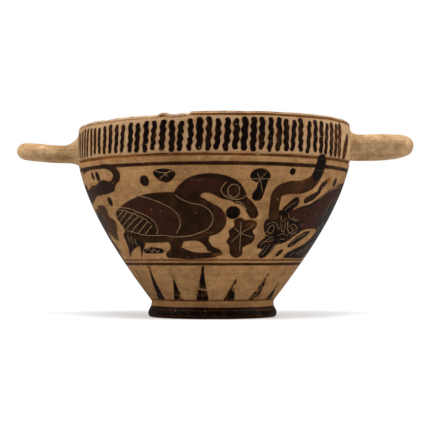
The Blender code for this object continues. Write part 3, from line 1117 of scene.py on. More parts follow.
@dataclass
class Atlas:
    """Where each stretch of the skin lies on its bake map, in its own units.

    The outside lies there as two halves, the lining and the underside as discs, and each handle's bar
    as an upright strip.
    """

    side: float = 4.45
    gap: float = 0.04
    disc_sizes: Point = (0.5, 0.3)
    disc_middles: tuple[Point, Point] = ((3.78, 0.56), (3.6, 1.42))
    bar_corner: Point = (3.34, 1.84)
    bar_size: Point = (0.38, 1.3)
    bar_pitch: float = 0.46

    def wall(self, turn: float, climb: float, rear: bool, top: float) -> Point:
        """A place on the outside; turn and climb are the drawing's own coordinates."""
        if rear and turn < 0:
            turn += math.tau
        middle = math.pi if rear else 0.0
        x = turn - middle + math.pi / 2 + self.gap
        y = climb + self.gap + (top + self.gap if rear else 0.0)
        return x / self.side, y / self.side

    def disc(self, azimuth: float, share: float, place: int) -> Point:
        """A place on one of the round stretches, the lining or the underside."""
        size, middle = self.disc_sizes[place] * share, self.disc_middles[place]
        x, y = middle[0] + size * math.sin(azimuth), middle[1] + size * math.cos(azimuth)
        return x / self.side, y / self.side

    def bar(self, around: float, along: float, place: int) -> Point:
        """A place on one of the handles."""
        x = self.bar_corner[0] + place * self.bar_pitch + around * self.bar_size[0]
        y = self.bar_corner[1] + along * self.bar_size[1]
        return x / self.side, y / self.side


@dataclass
class CupSkin:
    """Builds the cup's one closed skin from the section, the drawing and the handles, in mm.

    The grid is fine by the foot, the crest and the groove. The "edge" layer holds each corner's
    distance from the nearest edge of the paint, and far stands for any corner well away from one.
    """

    section: Section
    shape: HandmadeShape
    drawing: Drawing
    handles: list[HandleLoop]
    atlas: Atlas = field(default_factory=Atlas)
    grid: float = 1.35
    fine: float = 0.5
    sharp_foot: float = 2.0
    sharp_crest: float = 3.2
    sharp_groove: float = 1.3
    rim_columns: int = 240
    foot_columns: int = 144
    clearance: float = 0.42
    inlay: float = 0.55
    cut_depth: float = 0.12
    far: float = 2.0
    weld: float = 1e-4
    crest_depth: float = 0.45
    wear_reach: float = 1.5
    worn_through: float = 0.3
    bare_run: float = 2.4
    thin_run: float = 3.2
    under_ring: Point = (10.5, 12.0)
    row_steps: Point = (1.6, 1.2)

    def __post_init__(self) -> None:
        """Sets the edges of the map and finds the handles' roots on it."""
        self.left = math.radians(SEAM_DEG) - math.tau
        self.right = math.radians(SEAM_DEG)
        self.top = float(self.section.climbs[-1])
        self.roots = [self.outline(ring) for handle in self.handles for ring in handle.wall_outlines()]

    def outline(self, ring: list[Vector]) -> np.ndarray:
        """A ring on the cup's outside as places on the map."""
        spots = []
        for p in ring:
            turn = bearing(p)
            if turn > self.right:
                turn -= math.tau
            spots.append((turn, self.section.climb(p.z)))
        return np.array(spots)

    def rows(self) -> list[float]:
        """The map's heights at which the grid has rows, closer where the section bends sharply."""
        climb, out = 0.0, []
        while climb < self.top - 1e-6:
            out.append(climb)
            level = float(self.section.level(climb))
            by_foot, by_crest = level < self.sharp_foot, level > self.section.height - self.sharp_crest
            by_groove = abs(level - self.section.groove_height) < self.sharp_groove
            step = self.fine if by_foot or by_crest or by_groove else self.grid
            climb += step / float(self.section.radius(climb))
        if self.top - out[-1] < 0.3 * self.fine / self.section.lip_radius:
            out.pop()
        return out + [self.top]

    def grid_points(self) -> np.ndarray:
        """Grid points inside the map, denser where the cup is wider."""
        points = []
        for k, climb in enumerate(self.rows()[1:-1]):
            columns = round(math.tau * float(self.section.radius(climb)) / self.grid)
            shift = 0.75 if k % 2 else 0.25
            turns = self.left + math.tau * (np.arange(columns) + shift) / columns
            points.append(np.stack([turns, np.full(columns, climb)], axis=1))
        return np.concatenate(points)

    def inlay_points(self) -> np.ndarray:
        """Points a little inside each painted outline, so that thin edges can differ from the middle."""
        points = []
        for shape in self.drawing.shapes:
            if shape.finish is Finish.CUT:
                continue
            line = shape.outline
            ahead = np.roll(line, -1, axis=0) - np.roll(line, 1, axis=0)
            ahead /= np.maximum(np.hypot(*ahead.T), 1e-9)[:, None]
            x, y = line.T
            area = float(np.sum(x * np.roll(y, -1) - np.roll(x, -1) * y))
            inward = np.stack([-ahead[:, 1], ahead[:, 0]], axis=1) * (1 if area > 0 else -1)
            spots = line + inward * (self.inlay / self.section.radius(line[:, 1]))[:, None]
            spots = spots[self.within(line, spots)]
            points.append(spots)
        return np.concatenate(points)

    def within(self, outline: np.ndarray, spots: np.ndarray) -> np.ndarray:
        """Which places of the map lie inside an outline.

        Args:
            outline: The outline's points.
            spots: The places.

        Returns:
            The numbers of the places inside.
        """
        low, high = outline.min(axis=0), outline.max(axis=0)
        near = np.flatnonzero(((spots >= low) & (spots <= high)).all(axis=1))
        x, y = spots[near, 0][:, None], spots[near, 1][:, None]
        ax, ay = outline[:, 0][None], outline[:, 1][None]
        bx, by = np.roll(outline[:, 0], -1)[None], np.roll(outline[:, 1], -1)[None]
        turn = (bx - ax) * (y - ay) - (x - ax) * (by - ay)
        up = (ay <= y) & (by > y) & (turn > 0)
        down = (ay > y) & (by <= y) & (turn < 0)
        return near[(up.sum(axis=1) - down.sum(axis=1)) != 0]

    def real(self, spots: np.ndarray) -> np.ndarray:
        """Places on the map as points of the true turned cup, in mm."""
        reach, level = self.section.radius(spots[:, 1]), self.section.level(spots[:, 1])
        return np.stack([reach * np.sin(spots[:, 0]), -reach * np.cos(spots[:, 0]), level], axis=1)

    def edges_of_map(self) -> list[tuple[np.ndarray, bool]]:
        """The map's four sides and the outlines of the handles' roots, each with whether it is closed."""
        climbs = set(self.rows())
        for shape in self.drawing.shapes:
            for turn, climb in shape.outline:
                if abs(turn - self.left) < 1e-9:
                    climbs.add(float(climb))
        side = np.array(sorted(climbs))
        keep = np.concatenate([[True], np.diff(side) > 1e-7])
        side = side[keep]
        lines = []
        for turn in (self.left, self.right):
            lines.append((np.stack([np.full(len(side), turn), side], axis=1), False))
        for climb, columns in ((0.0, self.foot_columns), (self.top, self.rim_columns)):
            turns = np.linspace(self.left, self.right, columns + 1)
            lines.append((np.stack([turns, np.full(columns + 1, climb)], axis=1), False))
        return lines + [(root, True) for root in self.roots]

    def cut_map(self) -> tuple[np.ndarray, np.ndarray]:
        """Divides the map into triangles along every outline.

        Returns:
            The places of the corners and the three corners of each triangle.
        """
        lines = self.edges_of_map()
        for shape in self.drawing.shapes:
            lines.append((shape.outline, True))
            if shape.spine is not None:
                lines.append((shape.spine, False))
        points, edges = [], []
        for line, closed in lines:
            first = len(points)
            points += [tuple(p) for p in line]
            edges += [(first + i, first + i + 1) for i in range(len(line) - 1)]
            if closed:
                edges.append((len(points) - 1, first))
        fixed = self.real(np.array(points))
        tree = search_tree(fixed)
        for loose, room in ((self.inlay_points(), self.clearance), (self.grid_points(), self.grid * 0.4)):
            for spot, place in zip(loose, self.real(loose)):
                if tree.find(place)[2] > room:
                    points.append(tuple(spot))
        log.info("map: %d points, %d edges", len(points), len(edges))
        corners, _, faces, *_ = delaunay_2d_cdt([Vector(p) for p in points], edges, [], 0, 1e-7, False)
        corners, faces = np.array([tuple(c) for c in corners]), np.array([f for f in faces if len(f) == 3])
        a, b, c = corners[faces[:, 0]], corners[faces[:, 1]], corners[faces[:, 2]]
        area = (b[:, 0] - a[:, 0]) * (c[:, 1] - a[:, 1]) - (c[:, 0] - a[:, 0]) * (b[:, 1] - a[:, 1])
        middle = (self.left + self.right) / 2
        ends = (np.abs(corners[:, 1] - self.top / 2) > self.top / 2 - 1e-9)
        border = ends | (np.abs(corners[:, 0] - middle) > math.pi - 1e-9)
        return corners, faces[(area > 1e-9) | ~border[faces].all(axis=1)]

    def painted(self, middles: np.ndarray) -> tuple[np.ndarray, np.ndarray, np.ndarray]:
        """The finish, tone and loss of each triangle, from the middle of each."""
        finish = np.full(len(middles), int(Finish.CLAY))
        tone, loss = np.zeros(len(middles)), np.zeros(len(middles))
        for shape in self.drawing.shapes:
            inside = self.within(shape.outline, middles)
            if shape.finish in (Finish.RED, Finish.CUT):
                inside = inside[finish[inside] != Finish.CLAY]
            finish[inside] = int(shape.finish)
            if shape.finish is not Finish.CUT:
                tone[inside], loss[inside] = shape.tone, shape.loss
        crest = self.section.climb(self.section.height - self.crest_depth)
        worn_from = self.section.climb(self.section.height - self.wear_reach)
        for i in np.flatnonzero(middles[:, 1] > worn_from):
            if self.shape.worn(math.degrees(middles[i, 0])) > self.worn_through:
                finish[i] = int(Finish.BARE)
            elif middles[i, 1] > crest:
                finish[i], tone[i], loss[i] = int(Finish.GLAZE), 0.7, 0.45
        return finish, tone, loss

    def build(self, name: str) -> bpy.types.Object:
        """Builds the whole skin.

        Args:
            name: The new object's name.

        Returns:
            The object, in metres and in its place, without materials.
        """
        mesh = bmesh.new()
        self.layers = {
            "edge": mesh.verts.layers.float.new("edge"),
            "tone": mesh.faces.layers.float.new("tone"),
            "loss": mesh.faces.layers.float.new("loss"),
            "map": mesh.loops.layers.uv.new(BAKE_MAP),
        }
        self.add_wall(mesh)
        log.info("outside: %d faces", len(mesh.faces))
        self.add_rows(mesh, self.border(mesh, self.section.height), self.section.inner_points(), 0)
        self.add_rows(mesh, self.border(mesh, 0.0), self.section.under_points(), 1)
        for i, handle in enumerate(self.handles):
            self.add_handle(mesh, handle, i)
            log.info("%s joined", handle.name)
        for vert in mesh.verts:
            vert.co = self.shape.apply(vert.co) * MM
        bmesh.ops.dissolve_degenerate(mesh, dist=4e-6, edges=mesh.edges)
        bmesh.ops.recalc_face_normals(mesh, faces=mesh.faces)
        open_edges = sum(1 for e in mesh.edges if len(e.link_faces) != 2)
        volume = mesh.calc_volume() * 1e6
        log.info("skin: %d faces, %d open edges, %.1f cm3", len(mesh.faces), open_edges, volume)
        for face in mesh.faces:
            face.smooth = True
        data = bpy.data.meshes.new(name)
        mesh.to_mesh(data)
        mesh.free()
        cup = bpy.data.objects.new(name, data)
        bpy.context.scene.collection.objects.link(cup)
        return cup

    def add_wall(self, mesh: bmesh.types.BMesh) -> None:
        """Adds the painted outside, with holes where the handles grow out of it."""
        corners, faces = self.cut_map()
        middles = corners[faces].mean(axis=1)
        kept = np.ones(len(faces), dtype=bool)
        for root in self.roots:
            kept[self.within(root, middles)] = False
        faces, middles = faces[kept], middles[kept]
        finish, tone, loss = self.painted(middles)
        places = self.real(corners)
        edge = self.paint_edges(places, faces, finish)
        self.sink_cuts(corners, places)
        uv, tone_layer, loss_layer = self.layers["map"], self.layers["tone"], self.layers["loss"]
        used = np.zeros(len(corners), dtype=bool)
        used[faces.ravel()] = True
        verts = {}
        for i in np.flatnonzero(used):
            verts[i] = mesh.verts.new(places[i])
            verts[i][self.layers["edge"]] = float(edge[i])
        for i, triple in enumerate(faces):
            face = mesh.faces.new([verts[k] for k in triple])
            face.material_index = int(finish[i])
            face[tone_layer], face[loss_layer] = float(tone[i]), float(loss[i])
            rear = abs(middles[i, 0]) > math.pi / 2
            for loop, k in zip(face.loops, triple):
                loop[uv].uv = self.atlas.wall(corners[k, 0], corners[k, 1], rear, self.top)
        from_seam = np.minimum(corners[:, 0] - self.left, self.right - corners[:, 0])
        seam = [v for i, v in verts.items() if from_seam[i] < 1e-6]
        bmesh.ops.remove_doubles(mesh, verts=seam, dist=self.weld)

    def paint_edges(self, places: np.ndarray, faces: np.ndarray, finish: np.ndarray) -> np.ndarray:
        """How far each corner lies from the nearest edge of the paint, in mm, and never more than far."""
        bare = np.isin(finish, (int(Finish.CLAY), int(Finish.BARE)))
        on_bare, on_paint = np.zeros(len(places), bool), np.zeros(len(places), bool)
        on_bare[faces[bare].ravel()] = True
        on_paint[faces[~bare].ravel()] = True
        border = np.flatnonzero(on_bare & on_paint)
        tree = search_tree(places[border])
        return np.array([min(self.far, tree.find(p)[2]) for p in places])

    def sink_cuts(self, corners: np.ndarray, places: np.ndarray) -> None:
        """Moves the corners along the middle of each incised line into the wall."""
        spines = [shape.spine[1:-1] for shape in self.drawing.shapes if shape.spine is not None]
        tree = search_tree([(turn, climb, 0.0) for spine in spines for turn, climb in spine])
        for i, (turn, climb) in enumerate(corners):
            if tree.find((turn, climb, 0.0))[2] < 1e-6:
                reach = math.hypot(places[i, 0], places[i, 1])
                places[i, :2] *= 1 - self.cut_depth / reach

    def border(self, mesh: bmesh.types.BMesh, level: float) -> list[bmesh.types.BMEdge]:
        """The open edges that lie at a level."""
        open_edges = [e for e in mesh.edges if e.is_boundary]
        return [e for e in open_edges if all(abs(v.co.z - level) < 0.02 for v in e.verts)]

    def add_rows(self, mesh: bmesh.types.BMesh, edges: list[bmesh.types.BMEdge], points: list[Point],
                 place: int) -> None:
        """Draws the skin on from an open ring along a section that ends on the axis.

        Args:
            mesh: The skin so far.
            edges: The open ring's edges.
            points: The section from the ring to the axis, as radius and height.
            place: 0 for the lining, 1 for the underside.
        """
        line = flowing(np.array(points), False, self.row_steps[place])
        run = np.concatenate([[0.0], np.cumsum(np.hypot(*np.diff(line, axis=0).T))])
        shares = 1 - run / run[-1]
        uv = self.layers["map"]
        for k in range(1, len(line) - 1):
            made = bmesh.ops.extrude_edge_only(mesh, edges=edges)["geom"]
            verts = [g for g in made if isinstance(g, bmesh.types.BMVert)]
            for vert in verts:
                azimuth = bearing(vert.co)
                vert.co = (line[k, 0] * math.sin(azimuth), -line[k, 0] * math.cos(azimuth), line[k, 1])
                vert[self.layers["edge"]] = self.far
            fresh = set(verts)
            for face in (g for g in made if isinstance(g, bmesh.types.BMFace)):
                self.dress_row(face, place, float(run[k]))
                for loop in face.loops:
                    share = shares[k] if loop.vert in fresh else shares[k - 1]
                    loop[uv].uv = self.atlas.disc(bearing(loop.vert.co), float(share), place)
            edges = [g for g in made if isinstance(g, bmesh.types.BMEdge) and g.is_boundary]
        ring = {v for e in edges for v in e.verts}
        ring = sorted(ring, key=lambda v: bearing(v.co))
        middle = bmesh.ops.poke(mesh, faces=[mesh.faces.new(ring)])
        centre = middle["verts"][0]
        centre.co = (0.0, 0.0, line[-1, 1])
        centre[self.layers["edge"]] = self.far
        for face in middle["faces"]:
            self.dress_row(face, place, float(run[-1]))
            for loop in face.loops:
                share = 0.0 if loop.vert is centre else float(shares[-2])
                loop[uv].uv = self.atlas.disc(bearing(loop.vert.co), share, place)

    def dress_row(self, face: bmesh.types.BMFace, place: int, run: float) -> None:
        """Gives a face of the lining or the underside its finish."""
        if place == 0:
            face.material_index = int(Finish.LINING)
            azimuth = math.degrees(bearing(face.calc_center_median()))
            if run < self.bare_run and self.shape.worn(azimuth) > self.worn_through:
                face.material_index = int(Finish.BARE)
            near_rim = run < self.thin_run
            face[self.layers["loss"]] = 0.5 if near_rim else 0.2
            face[self.layers["tone"]] = 0.5 if near_rim else 0.25
        else:
            inner, outer = self.under_ring
            ringed = inner < face.calc_center_median().xy.length < outer
            face.material_index = int(Finish.GLAZE if ringed else Finish.CLAY)
            face[self.layers["loss"]], face[self.layers["tone"]] = 0.3, 0.3

    def add_handle(self, mesh: bmesh.types.BMesh, handle: HandleLoop, place: int) -> None:
        """Adds a handle's bar as a wrapped grid and joins it to its two holes in the wall."""
        rings = handle.rings()
        sides, rows = handle.corners, len(rings) - 1
        holes = [e for e in mesh.edges if e.is_boundary]
        made = bmesh.ops.create_grid(mesh, x_segments=sides, y_segments=rows, size=0.5)["verts"]
        uv = self.layers["map"]
        seam = []
        faces = list(dict.fromkeys(f for v in made for f in v.link_faces))
        for face in faces:
            face.material_index = int(Finish.HANDLE)
            for loop in face.loops:
                co = loop.vert.co
                loop[uv].uv = self.atlas.bar(co.x + 0.5, co.y + 0.5, place)
        for vert in made:
            i, j = round((vert.co.x + 0.5) * sides), round((vert.co.y + 0.5) * rows)
            if i in (0, sides):
                seam.append(vert)
            vert.co = rings[j][i % sides]
            vert[self.layers["edge"]] = self.far
        bmesh.ops.remove_doubles(mesh, verts=seam, dist=self.weld)
        ends = dict.fromkeys(e for f in faces if f.is_valid for e in f.edges if e.is_boundary)
        for root in handle.wall_outlines():
            centre = sum(root, Vector()) / len(root)
            reach = max((p - centre).length for p in root) + 1.5
            open_edges = [e for e in (*holes, *ends) if e.is_valid]
            near = [e for e in open_edges if all((v.co - centre).length < reach for v in e.verts)]
            for face in bmesh.ops.bridge_loops(mesh, edges=near)["faces"]:
                face.material_index = int(Finish.HANDLE)
                rear = face.calc_center_median().y > 0
                for loop in face.loops:
                    co = loop.vert.co
                    spot = self.atlas.wall(bearing(co), self.section.climb(co.z), rear, self.top)
                    loop[uv].uv = spot


@dataclass
class NodeSheet:
    """Adds nodes to one tree, laid out in rows, and joins them."""

    tree: bpy.types.NodeTree
    columns: int = 9
    room: Point = (190, 260)

    def node(self, kind: str, **settings: object) -> bpy.types.Node:
        """A new node of a kind, with its settings."""
        node = self.tree.nodes.new(kind)
        row, column = divmod(len(self.tree.nodes), self.columns)
        node.location = (column * self.room[0], -row * self.room[1])
        for key, value in settings.items():
            setattr(node, key, value)
        return node

    def plug(self, socket: Socket, value: object) -> None:
        """Joins a socket to another one, or sets it to a number or a colour."""
        if isinstance(value, bpy.types.NodeSocket):
            self.tree.links.new(value, socket)
        elif isinstance(value, tuple) and len(value) == 3 and socket.type == "RGBA":
            socket.default_value = (*value, 1.0)
        else:
            socket.default_value = value

    def math(self, operation: str, *values: object, clamp: bool = False) -> Socket:
        """The result of a Math node."""
        node = self.node("ShaderNodeMath", operation=operation, use_clamp=clamp)
        for socket, value in zip(node.inputs, values):
            self.plug(socket, value)
        return node.outputs[0]

    def times(self, first: object, second: object) -> Socket:
        """The product of two numbers."""
        return self.math("MULTIPLY", first, second)

    def plus(self, first: object, second: object, clamp: bool = False) -> Socket:
        """The sum of two numbers, held between 0 and 1 if clamped."""
        return self.math("ADD", first, second, clamp=clamp)

    def mix(self, share: object, first: object, second: object, blend: str = "MIX") -> Socket:
        """The colour between two colours; the Mix node keeps its colour sockets at 6, 7 and 2."""
        node = self.node("ShaderNodeMix", data_type="RGBA", blend_type=blend)
        for key, value in ((0, share), (6, first), (7, second)):
            self.plug(node.inputs[key], value)
        return node.outputs[2]

    def span(self, value: object, low: float, high: float, start: float = 0.0, end: float = 1.0) -> Socket:
        """The value eased from one range to another, and held at its ends."""
        node = self.node("ShaderNodeMapRange", interpolation_type="SMOOTHSTEP")
        for key, given in enumerate((value, low, high, start, end)):
            self.plug(node.inputs[key], given)
        return node.outputs[0]

    def cloud(self, vector: Socket, size_mm: float, detail: float, rough: float,
              warp: float = 0.0) -> Socket:
        """Noise whose lumps have a size in mm."""
        node = self.node("ShaderNodeTexNoise")
        self.plug(node.inputs["Vector"], vector)
        values = {"Scale": 1000 / size_mm, "Detail": detail, "Roughness": rough, "Distortion": warp}
        for key, value in values.items():
            self.plug(node.inputs[key], value)
        return node.outputs["Fac"]

    def stretched(self, vector: Socket, scale: tuple[float, float, float]) -> Socket:
        """The vector multiplied by a scale on each axis."""
        node = self.node("ShaderNodeVectorMath", operation="MULTIPLY")
        self.plug(node.inputs[0], vector)
        node.inputs[1].default_value = scale
        return node.outputs[0]

    def cells(self, vector: Socket, size_mm: float) -> tuple[Socket, Socket]:
        """Distance from the middle of the nearest of many cells, and that cell's own random number."""
        node = self.node("ShaderNodeTexVoronoi")
        self.plug(node.inputs["Vector"], vector)
        self.plug(node.inputs["Scale"], 1000 / size_mm)
        parts = self.node("ShaderNodeSeparateColor")
        self.plug(parts.inputs[0], node.outputs["Color"])
        return node.outputs["Distance"], parts.outputs[0]

    def field(self, name: str) -> Socket:
        """A number that the skin's own attribute holds."""
        return self.node("ShaderNodeAttribute", attribute_name=name).outputs["Fac"]

    def level(self, place: Socket, *span: float) -> Socket:
        """The height of a place, eased from one range to another as by span."""
        parts = self.node("ShaderNodeSeparateXYZ")
        self.plug(parts.inputs[0], place)
        return self.span(parts.outputs["Z"], *span)

    def place(self) -> Socket:
        """Object coordinates, in metres."""
        return self.node("ShaderNodeTexCoord").outputs["Object"]

    def group(self, tree: bpy.types.NodeTree, **values: object) -> bpy.types.Node:
        """A copy of a shared effect with its inputs set; a low line in a name stands for a space."""
        node = self.node("ShaderNodeGroup", node_tree=tree)
        for key, value in values.items():
            self.plug(node.inputs[key.replace("_", " ")], value)
        return node


def effect(name: str, inputs: dict[str, float | None],
           outputs: list[str]) -> tuple[bpy.types.NodeTree, NodeSheet, dict[str, Socket]]:
    """Starts a shared effect.

    Args:
        name: The effect's name.
        inputs: Each input with its first value; None makes it a vector.
        outputs: The outputs, all numbers.

    Returns:
        The tree, a sheet to fill it with, and the sockets by name.
    """
    tree = bpy.data.node_groups.new(name, "ShaderNodeTree")
    for key, value in inputs.items():
        kind = "NodeSocketVector" if value is None else "NodeSocketFloat"
        socket = tree.interface.new_socket(key, in_out="INPUT", socket_type=kind)
        if value is not None:
            socket.default_value = value
    for key in outputs:
        tree.interface.new_socket(key, in_out="OUTPUT", socket_type="NodeSocketFloat")
    sheet = NodeSheet(tree)
    start, end = sheet.node("NodeGroupInput"), sheet.node("NodeGroupOutput")
    sockets = {key: start.outputs[key] for key in inputs}
    sockets.update({key: end.inputs[key] for key in outputs})
    return tree, sheet, sockets


@dataclass
class Effects:
    """The effects that several finishes share."""

    grain: bpy.types.NodeTree = field(init=False)
    flaking: bpy.types.NodeTree = field(init=False)
    scuffs: bpy.types.NodeTree = field(init=False)

    def __post_init__(self) -> None:
        """Builds each effect once."""
        self.grain = self.clay_grain()
        self.flaking = self.paint_flaking()
        self.scuffs = self.fine_scuffs()

    def clay_grain(self) -> bpy.types.NodeTree:
        """Mottling, fine grain, dark grits and the lines that turning left in the clay."""
        tree, n, s = effect("clay_grain", {"Vector": None, "Grits": 0.3},
                            ["Mottle", "Fired", "Grain", "Grit", "Lines", "Height"])
        large = n.cloud(s["Vector"], 26, 4, 0.6, 0.6)
        small = n.cloud(s["Vector"], 4.5, 5, 0.7, 0.4)
        n.plug(s["Mottle"], n.plus(n.times(large, 0.45), n.times(small, 0.55)))
        n.plug(s["Fired"], n.span(n.cloud(s["Vector"], 19, 3, 0.55, 0.9), 0.5, 0.72))
        grain = n.cloud(s["Vector"], 0.7, 4, 0.7)
        n.plug(s["Grain"], grain)
        distance, chance = n.cells(s["Vector"], 2.6)
        spot = n.span(distance, 0.06, 0.13, 1.0, 0.0)
        rare = n.math("LESS_THAN", chance, s["Grits"])
        grit = n.times(spot, rare)
        n.plug(s["Grit"], grit)
        level = n.stretched(s["Vector"], (0.035, 0.035, 1.0))
        lines = n.cloud(level, 1.5, 3, 0.6)
        n.plug(s["Lines"], lines)
        rough = n.plus(n.times(grain, 0.6), n.times(lines, 0.5))
        n.plug(s["Height"], n.math("SUBTRACT", rough, n.times(grit, 0.5)))
        return tree

    def paint_flaking(self) -> bpy.types.NodeTree:
        """Where paint has come off, in flecks and pits that grow with the loss, and more at its edges."""
        tree, n, s = effect("paint_flaking", {"Vector": None, "Loss": 0.2, "Edge": 2.0}, ["Bare", "Thin"])
        patches = n.cloud(s["Vector"], 5.5, 5, 0.72, 0.8)
        flecks = n.cloud(s["Vector"], 1.1, 5, 0.75, 0.3)
        both = n.plus(n.times(patches, 0.62), n.times(flecks, 0.38))
        rim = n.span(s["Edge"], 0.0, 0.5, 0.035, 0.0)
        limit = n.plus(n.span(s["Loss"], 0.0, 1.0, 0.285, 0.58), rim)
        bare = n.span(n.math("SUBTRACT", both, limit), -0.012, 0.014, 1.0, 0.0)
        distance, chance = n.cells(s["Vector"], 1.9)
        pit = n.times(n.span(distance, 0.08, 0.16, 1.0, 0.0),
                     n.math("LESS_THAN", chance, n.times(s["Loss"], 0.55)))
        n.plug(s["Bare"], n.math("MAXIMUM", bare, pit))
        n.plug(s["Thin"], n.span(n.math("SUBTRACT", both, limit), 0.0, 0.11, 1.0, 0.0))
        return tree

    def fine_scuffs(self) -> bpy.types.NodeTree:
        """Fine scratches, mostly level as from wiping and turning, broken up along their length."""
        tree, n, s = effect("fine_scuffs", {"Vector": None}, ["Scuff"])
        level = n.stretched(s["Vector"], (0.05, 0.05, 1.0))
        lines = n.cloud(level, 0.8, 2, 0.5)
        thin = n.span(lines, 0.66, 0.72)
        gaps = n.span(n.cloud(s["Vector"], 14, 2, 0.5), 0.48, 0.62)
        n.plug(s["Scuff"], n.times(thin, gaps))
        return tree


@dataclass(frozen=True)
class Clay:
    """Bare fired clay: paler on the lip if pale is given, stained beside paint, and darkened towards the
    foot by painted shade.
    """

    name: str
    light: Colour
    dark: Colour
    pale: Colour | None = None
    fired: Colour = (0.31, 0.145, 0.050)
    # colour of the stains beside paint and of the painted shade towards the foot
    stain_and_shade: Colour = (0.20, 0.080, 0.028)
    grit: Colour = (0.05, 0.028, 0.015)
    grits: float = 0.3
    roughness: float = 0.74
    bump: float = 0.22
    lip_starts: Point = (0.0700, 0.0725)
    # painted shade: heights in metres below which the clay darkens towards the foot, and its share there
    foot_painted_shade: tuple[float, float, float, float] = (0.0068, 0.0105, 0.36, 0.0)

    def colour(self, n: NodeSheet, effects: Effects, place: Socket) -> tuple[Socket, Socket]:
        """Lays the clay's colour and its height on a sheet."""
        grain = n.group(effects.grain, Vector=place, Grits=self.grits)
        scuffs = n.group(effects.scuffs, Vector=place)
        base = n.mix(n.span(grain.outputs["Mottle"], 0.36, 0.66), self.dark, self.light)
        if self.pale is not None:
            base = n.mix(n.times(n.level(place, *self.lip_starts), 0.8), base, self.pale)
        base = n.mix(n.times(grain.outputs["Fired"], 0.4), base, self.fired)
        # painted shade: the clay darkens towards the foot and over the underside
        base = n.mix(n.level(place, *self.foot_painted_shade), base, self.stain_and_shade)
        near_paint = n.span(n.field("edge"), 0.0, 0.7, 0.34, 0.0)
        halo = n.times(near_paint, n.span(grain.outputs["Mottle"], 0.4, 0.6, 1.0, 0.3))
        base = n.mix(halo, base, self.stain_and_shade)
        speckle = n.times(n.span(grain.outputs["Grain"], 0.35, 0.7), 0.35)
        base = n.mix(speckle, base, self.dark, "MULTIPLY")
        lines = n.span(grain.outputs["Lines"], 0.3, 0.7, 0.9, 1.08)
        lit = n.node("ShaderNodeVectorMath", operation="SCALE")
        n.plug(lit.inputs[0], base)
        n.plug(lit.inputs["Scale"], lines)
        base = n.mix(n.times(scuffs.outputs["Scuff"], 0.3), lit.outputs[0], self.grit)
        base = n.mix(n.times(grain.outputs["Grit"], 0.75), base, self.grit)
        return base, grain.outputs["Height"]

    def material(self, effects: Effects) -> bpy.types.Material:
        """The material of a bare patch."""
        material, n, shader = fresh_material(self.name, self.light)
        base, height = self.colour(n, effects, n.place())
        n.plug(shader.inputs["Base Color"], base)
        matt, smooth = self.roughness + 0.1, self.roughness - 0.06
        n.plug(shader.inputs["Roughness"], n.span(height, 0.2, 0.9, matt, smooth))
        add_bump(n, shader, height, self.bump)
        return material


@dataclass(frozen=True)
class Paint:
    """A slip paint over the clay, thick in the middle of a stroke and thinner at its edges."""

    name: str
    thick: Colour
    thin: Colour
    under: Clay
    over: Colour | None = None
    roughness: float = 0.55
    fringe: float = 0.5
    bump: float = 0.16
    shine: float = 0.03

    def material(self, effects: Effects) -> bpy.types.Material:
        """The material of a painted patch."""
        material, n, shader = fresh_material(self.name, self.thick, self.shine)
        place, edge, tone, loss = n.place(), n.field("edge"), n.field("tone"), n.field("loss")
        tone = n.math("POWER", tone, 1.1)
        flaking = n.group(effects.flaking, Vector=place, Loss=loss, Edge=edge)
        clay, clay_height = self.under.colour(n, effects, place)
        streaks = n.cloud(n.stretched(place, (1.0, 1.0, 0.35)), 3.2, 4, 0.65, 0.5)
        fringe = n.span(edge, 0.0, 0.55, self.fringe, 0.0)
        washed = n.plus(tone, n.plus(fringe, n.span(streaks, 0.38, 0.75, -0.06, 0.06)))
        broad = n.span(n.cloud(place, 15, 3, 0.5, 0.6), 0.42, 0.7, 0.55, 1.05)
        washed = n.times(washed, broad)
        washed = n.plus(washed, n.times(flaking.outputs["Thin"], 0.1), clamp=True)
        paint = n.mix(washed, self.thick, self.thin)
        if self.over is not None:
            powder = n.span(n.cloud(place, 2.4, 5, 0.7, 0.4), 0.3, 0.6, 0.45, 1.0)
            paint = n.mix(powder, paint, self.over)
        scuffs = n.group(effects.scuffs, Vector=place)
        paint = n.mix(n.times(scuffs.outputs["Scuff"], 0.35), paint, clay)
        bare = flaking.outputs["Bare"]
        n.plug(shader.inputs["Base Color"], n.mix(bare, paint, clay))
        matt = n.plus(self.roughness, n.times(washed, 0.16))
        n.plug(shader.inputs["Roughness"], n.plus(matt, n.times(bare, 0.28), clamp=True))
        height = n.math("SUBTRACT", n.times(clay_height, 0.6), n.times(bare, 0.5))
        add_bump(n, shader, height, self.bump)
        return material


@dataclass(frozen=True)
class Lining:
    """The glaze inside the bowl, brushed on while the cup turned and worn thin by use."""

    name: str
    thick: Colour
    thin: Colour
    under: Clay
    roughness: float = 0.4

    def material(self, effects: Effects) -> bpy.types.Material:
        """The material of the bowl's inside."""
        material, n, shader = fresh_material(self.name, self.thick)
        place, loss, tone = n.place(), n.field("loss"), n.field("tone")
        flaking = n.group(effects.flaking, Vector=place, Loss=loss, Edge=2.0)
        clay, clay_height = self.under.colour(n, effects, place)
        sweeps = n.cloud(n.stretched(place, (0.12, 0.12, 1.0)), 5.0, 4, 0.6, 0.4)
        fired = n.cloud(place, 34, 3, 0.55, 0.7)
        uneven = n.plus(n.span(sweeps, 0.35, 0.7, -0.15, 0.3), n.span(fired, 0.5, 0.7, 0.0, 0.3))
        washed = n.plus(tone, uneven, clamp=True)
        paint = n.mix(washed, self.thick, self.thin)
        bare = flaking.outputs["Bare"]
        n.plug(shader.inputs["Base Color"], n.mix(bare, paint, clay))
        matt = n.plus(self.roughness, n.times(bare, 0.28))
        n.plug(shader.inputs["Roughness"], n.plus(n.times(washed, 0.18), matt))
        height = n.math("SUBTRACT", n.plus(clay_height, sweeps), n.times(bare, 0.5))
        add_bump(n, shader, height, 0.2, 0.0005)
        return material


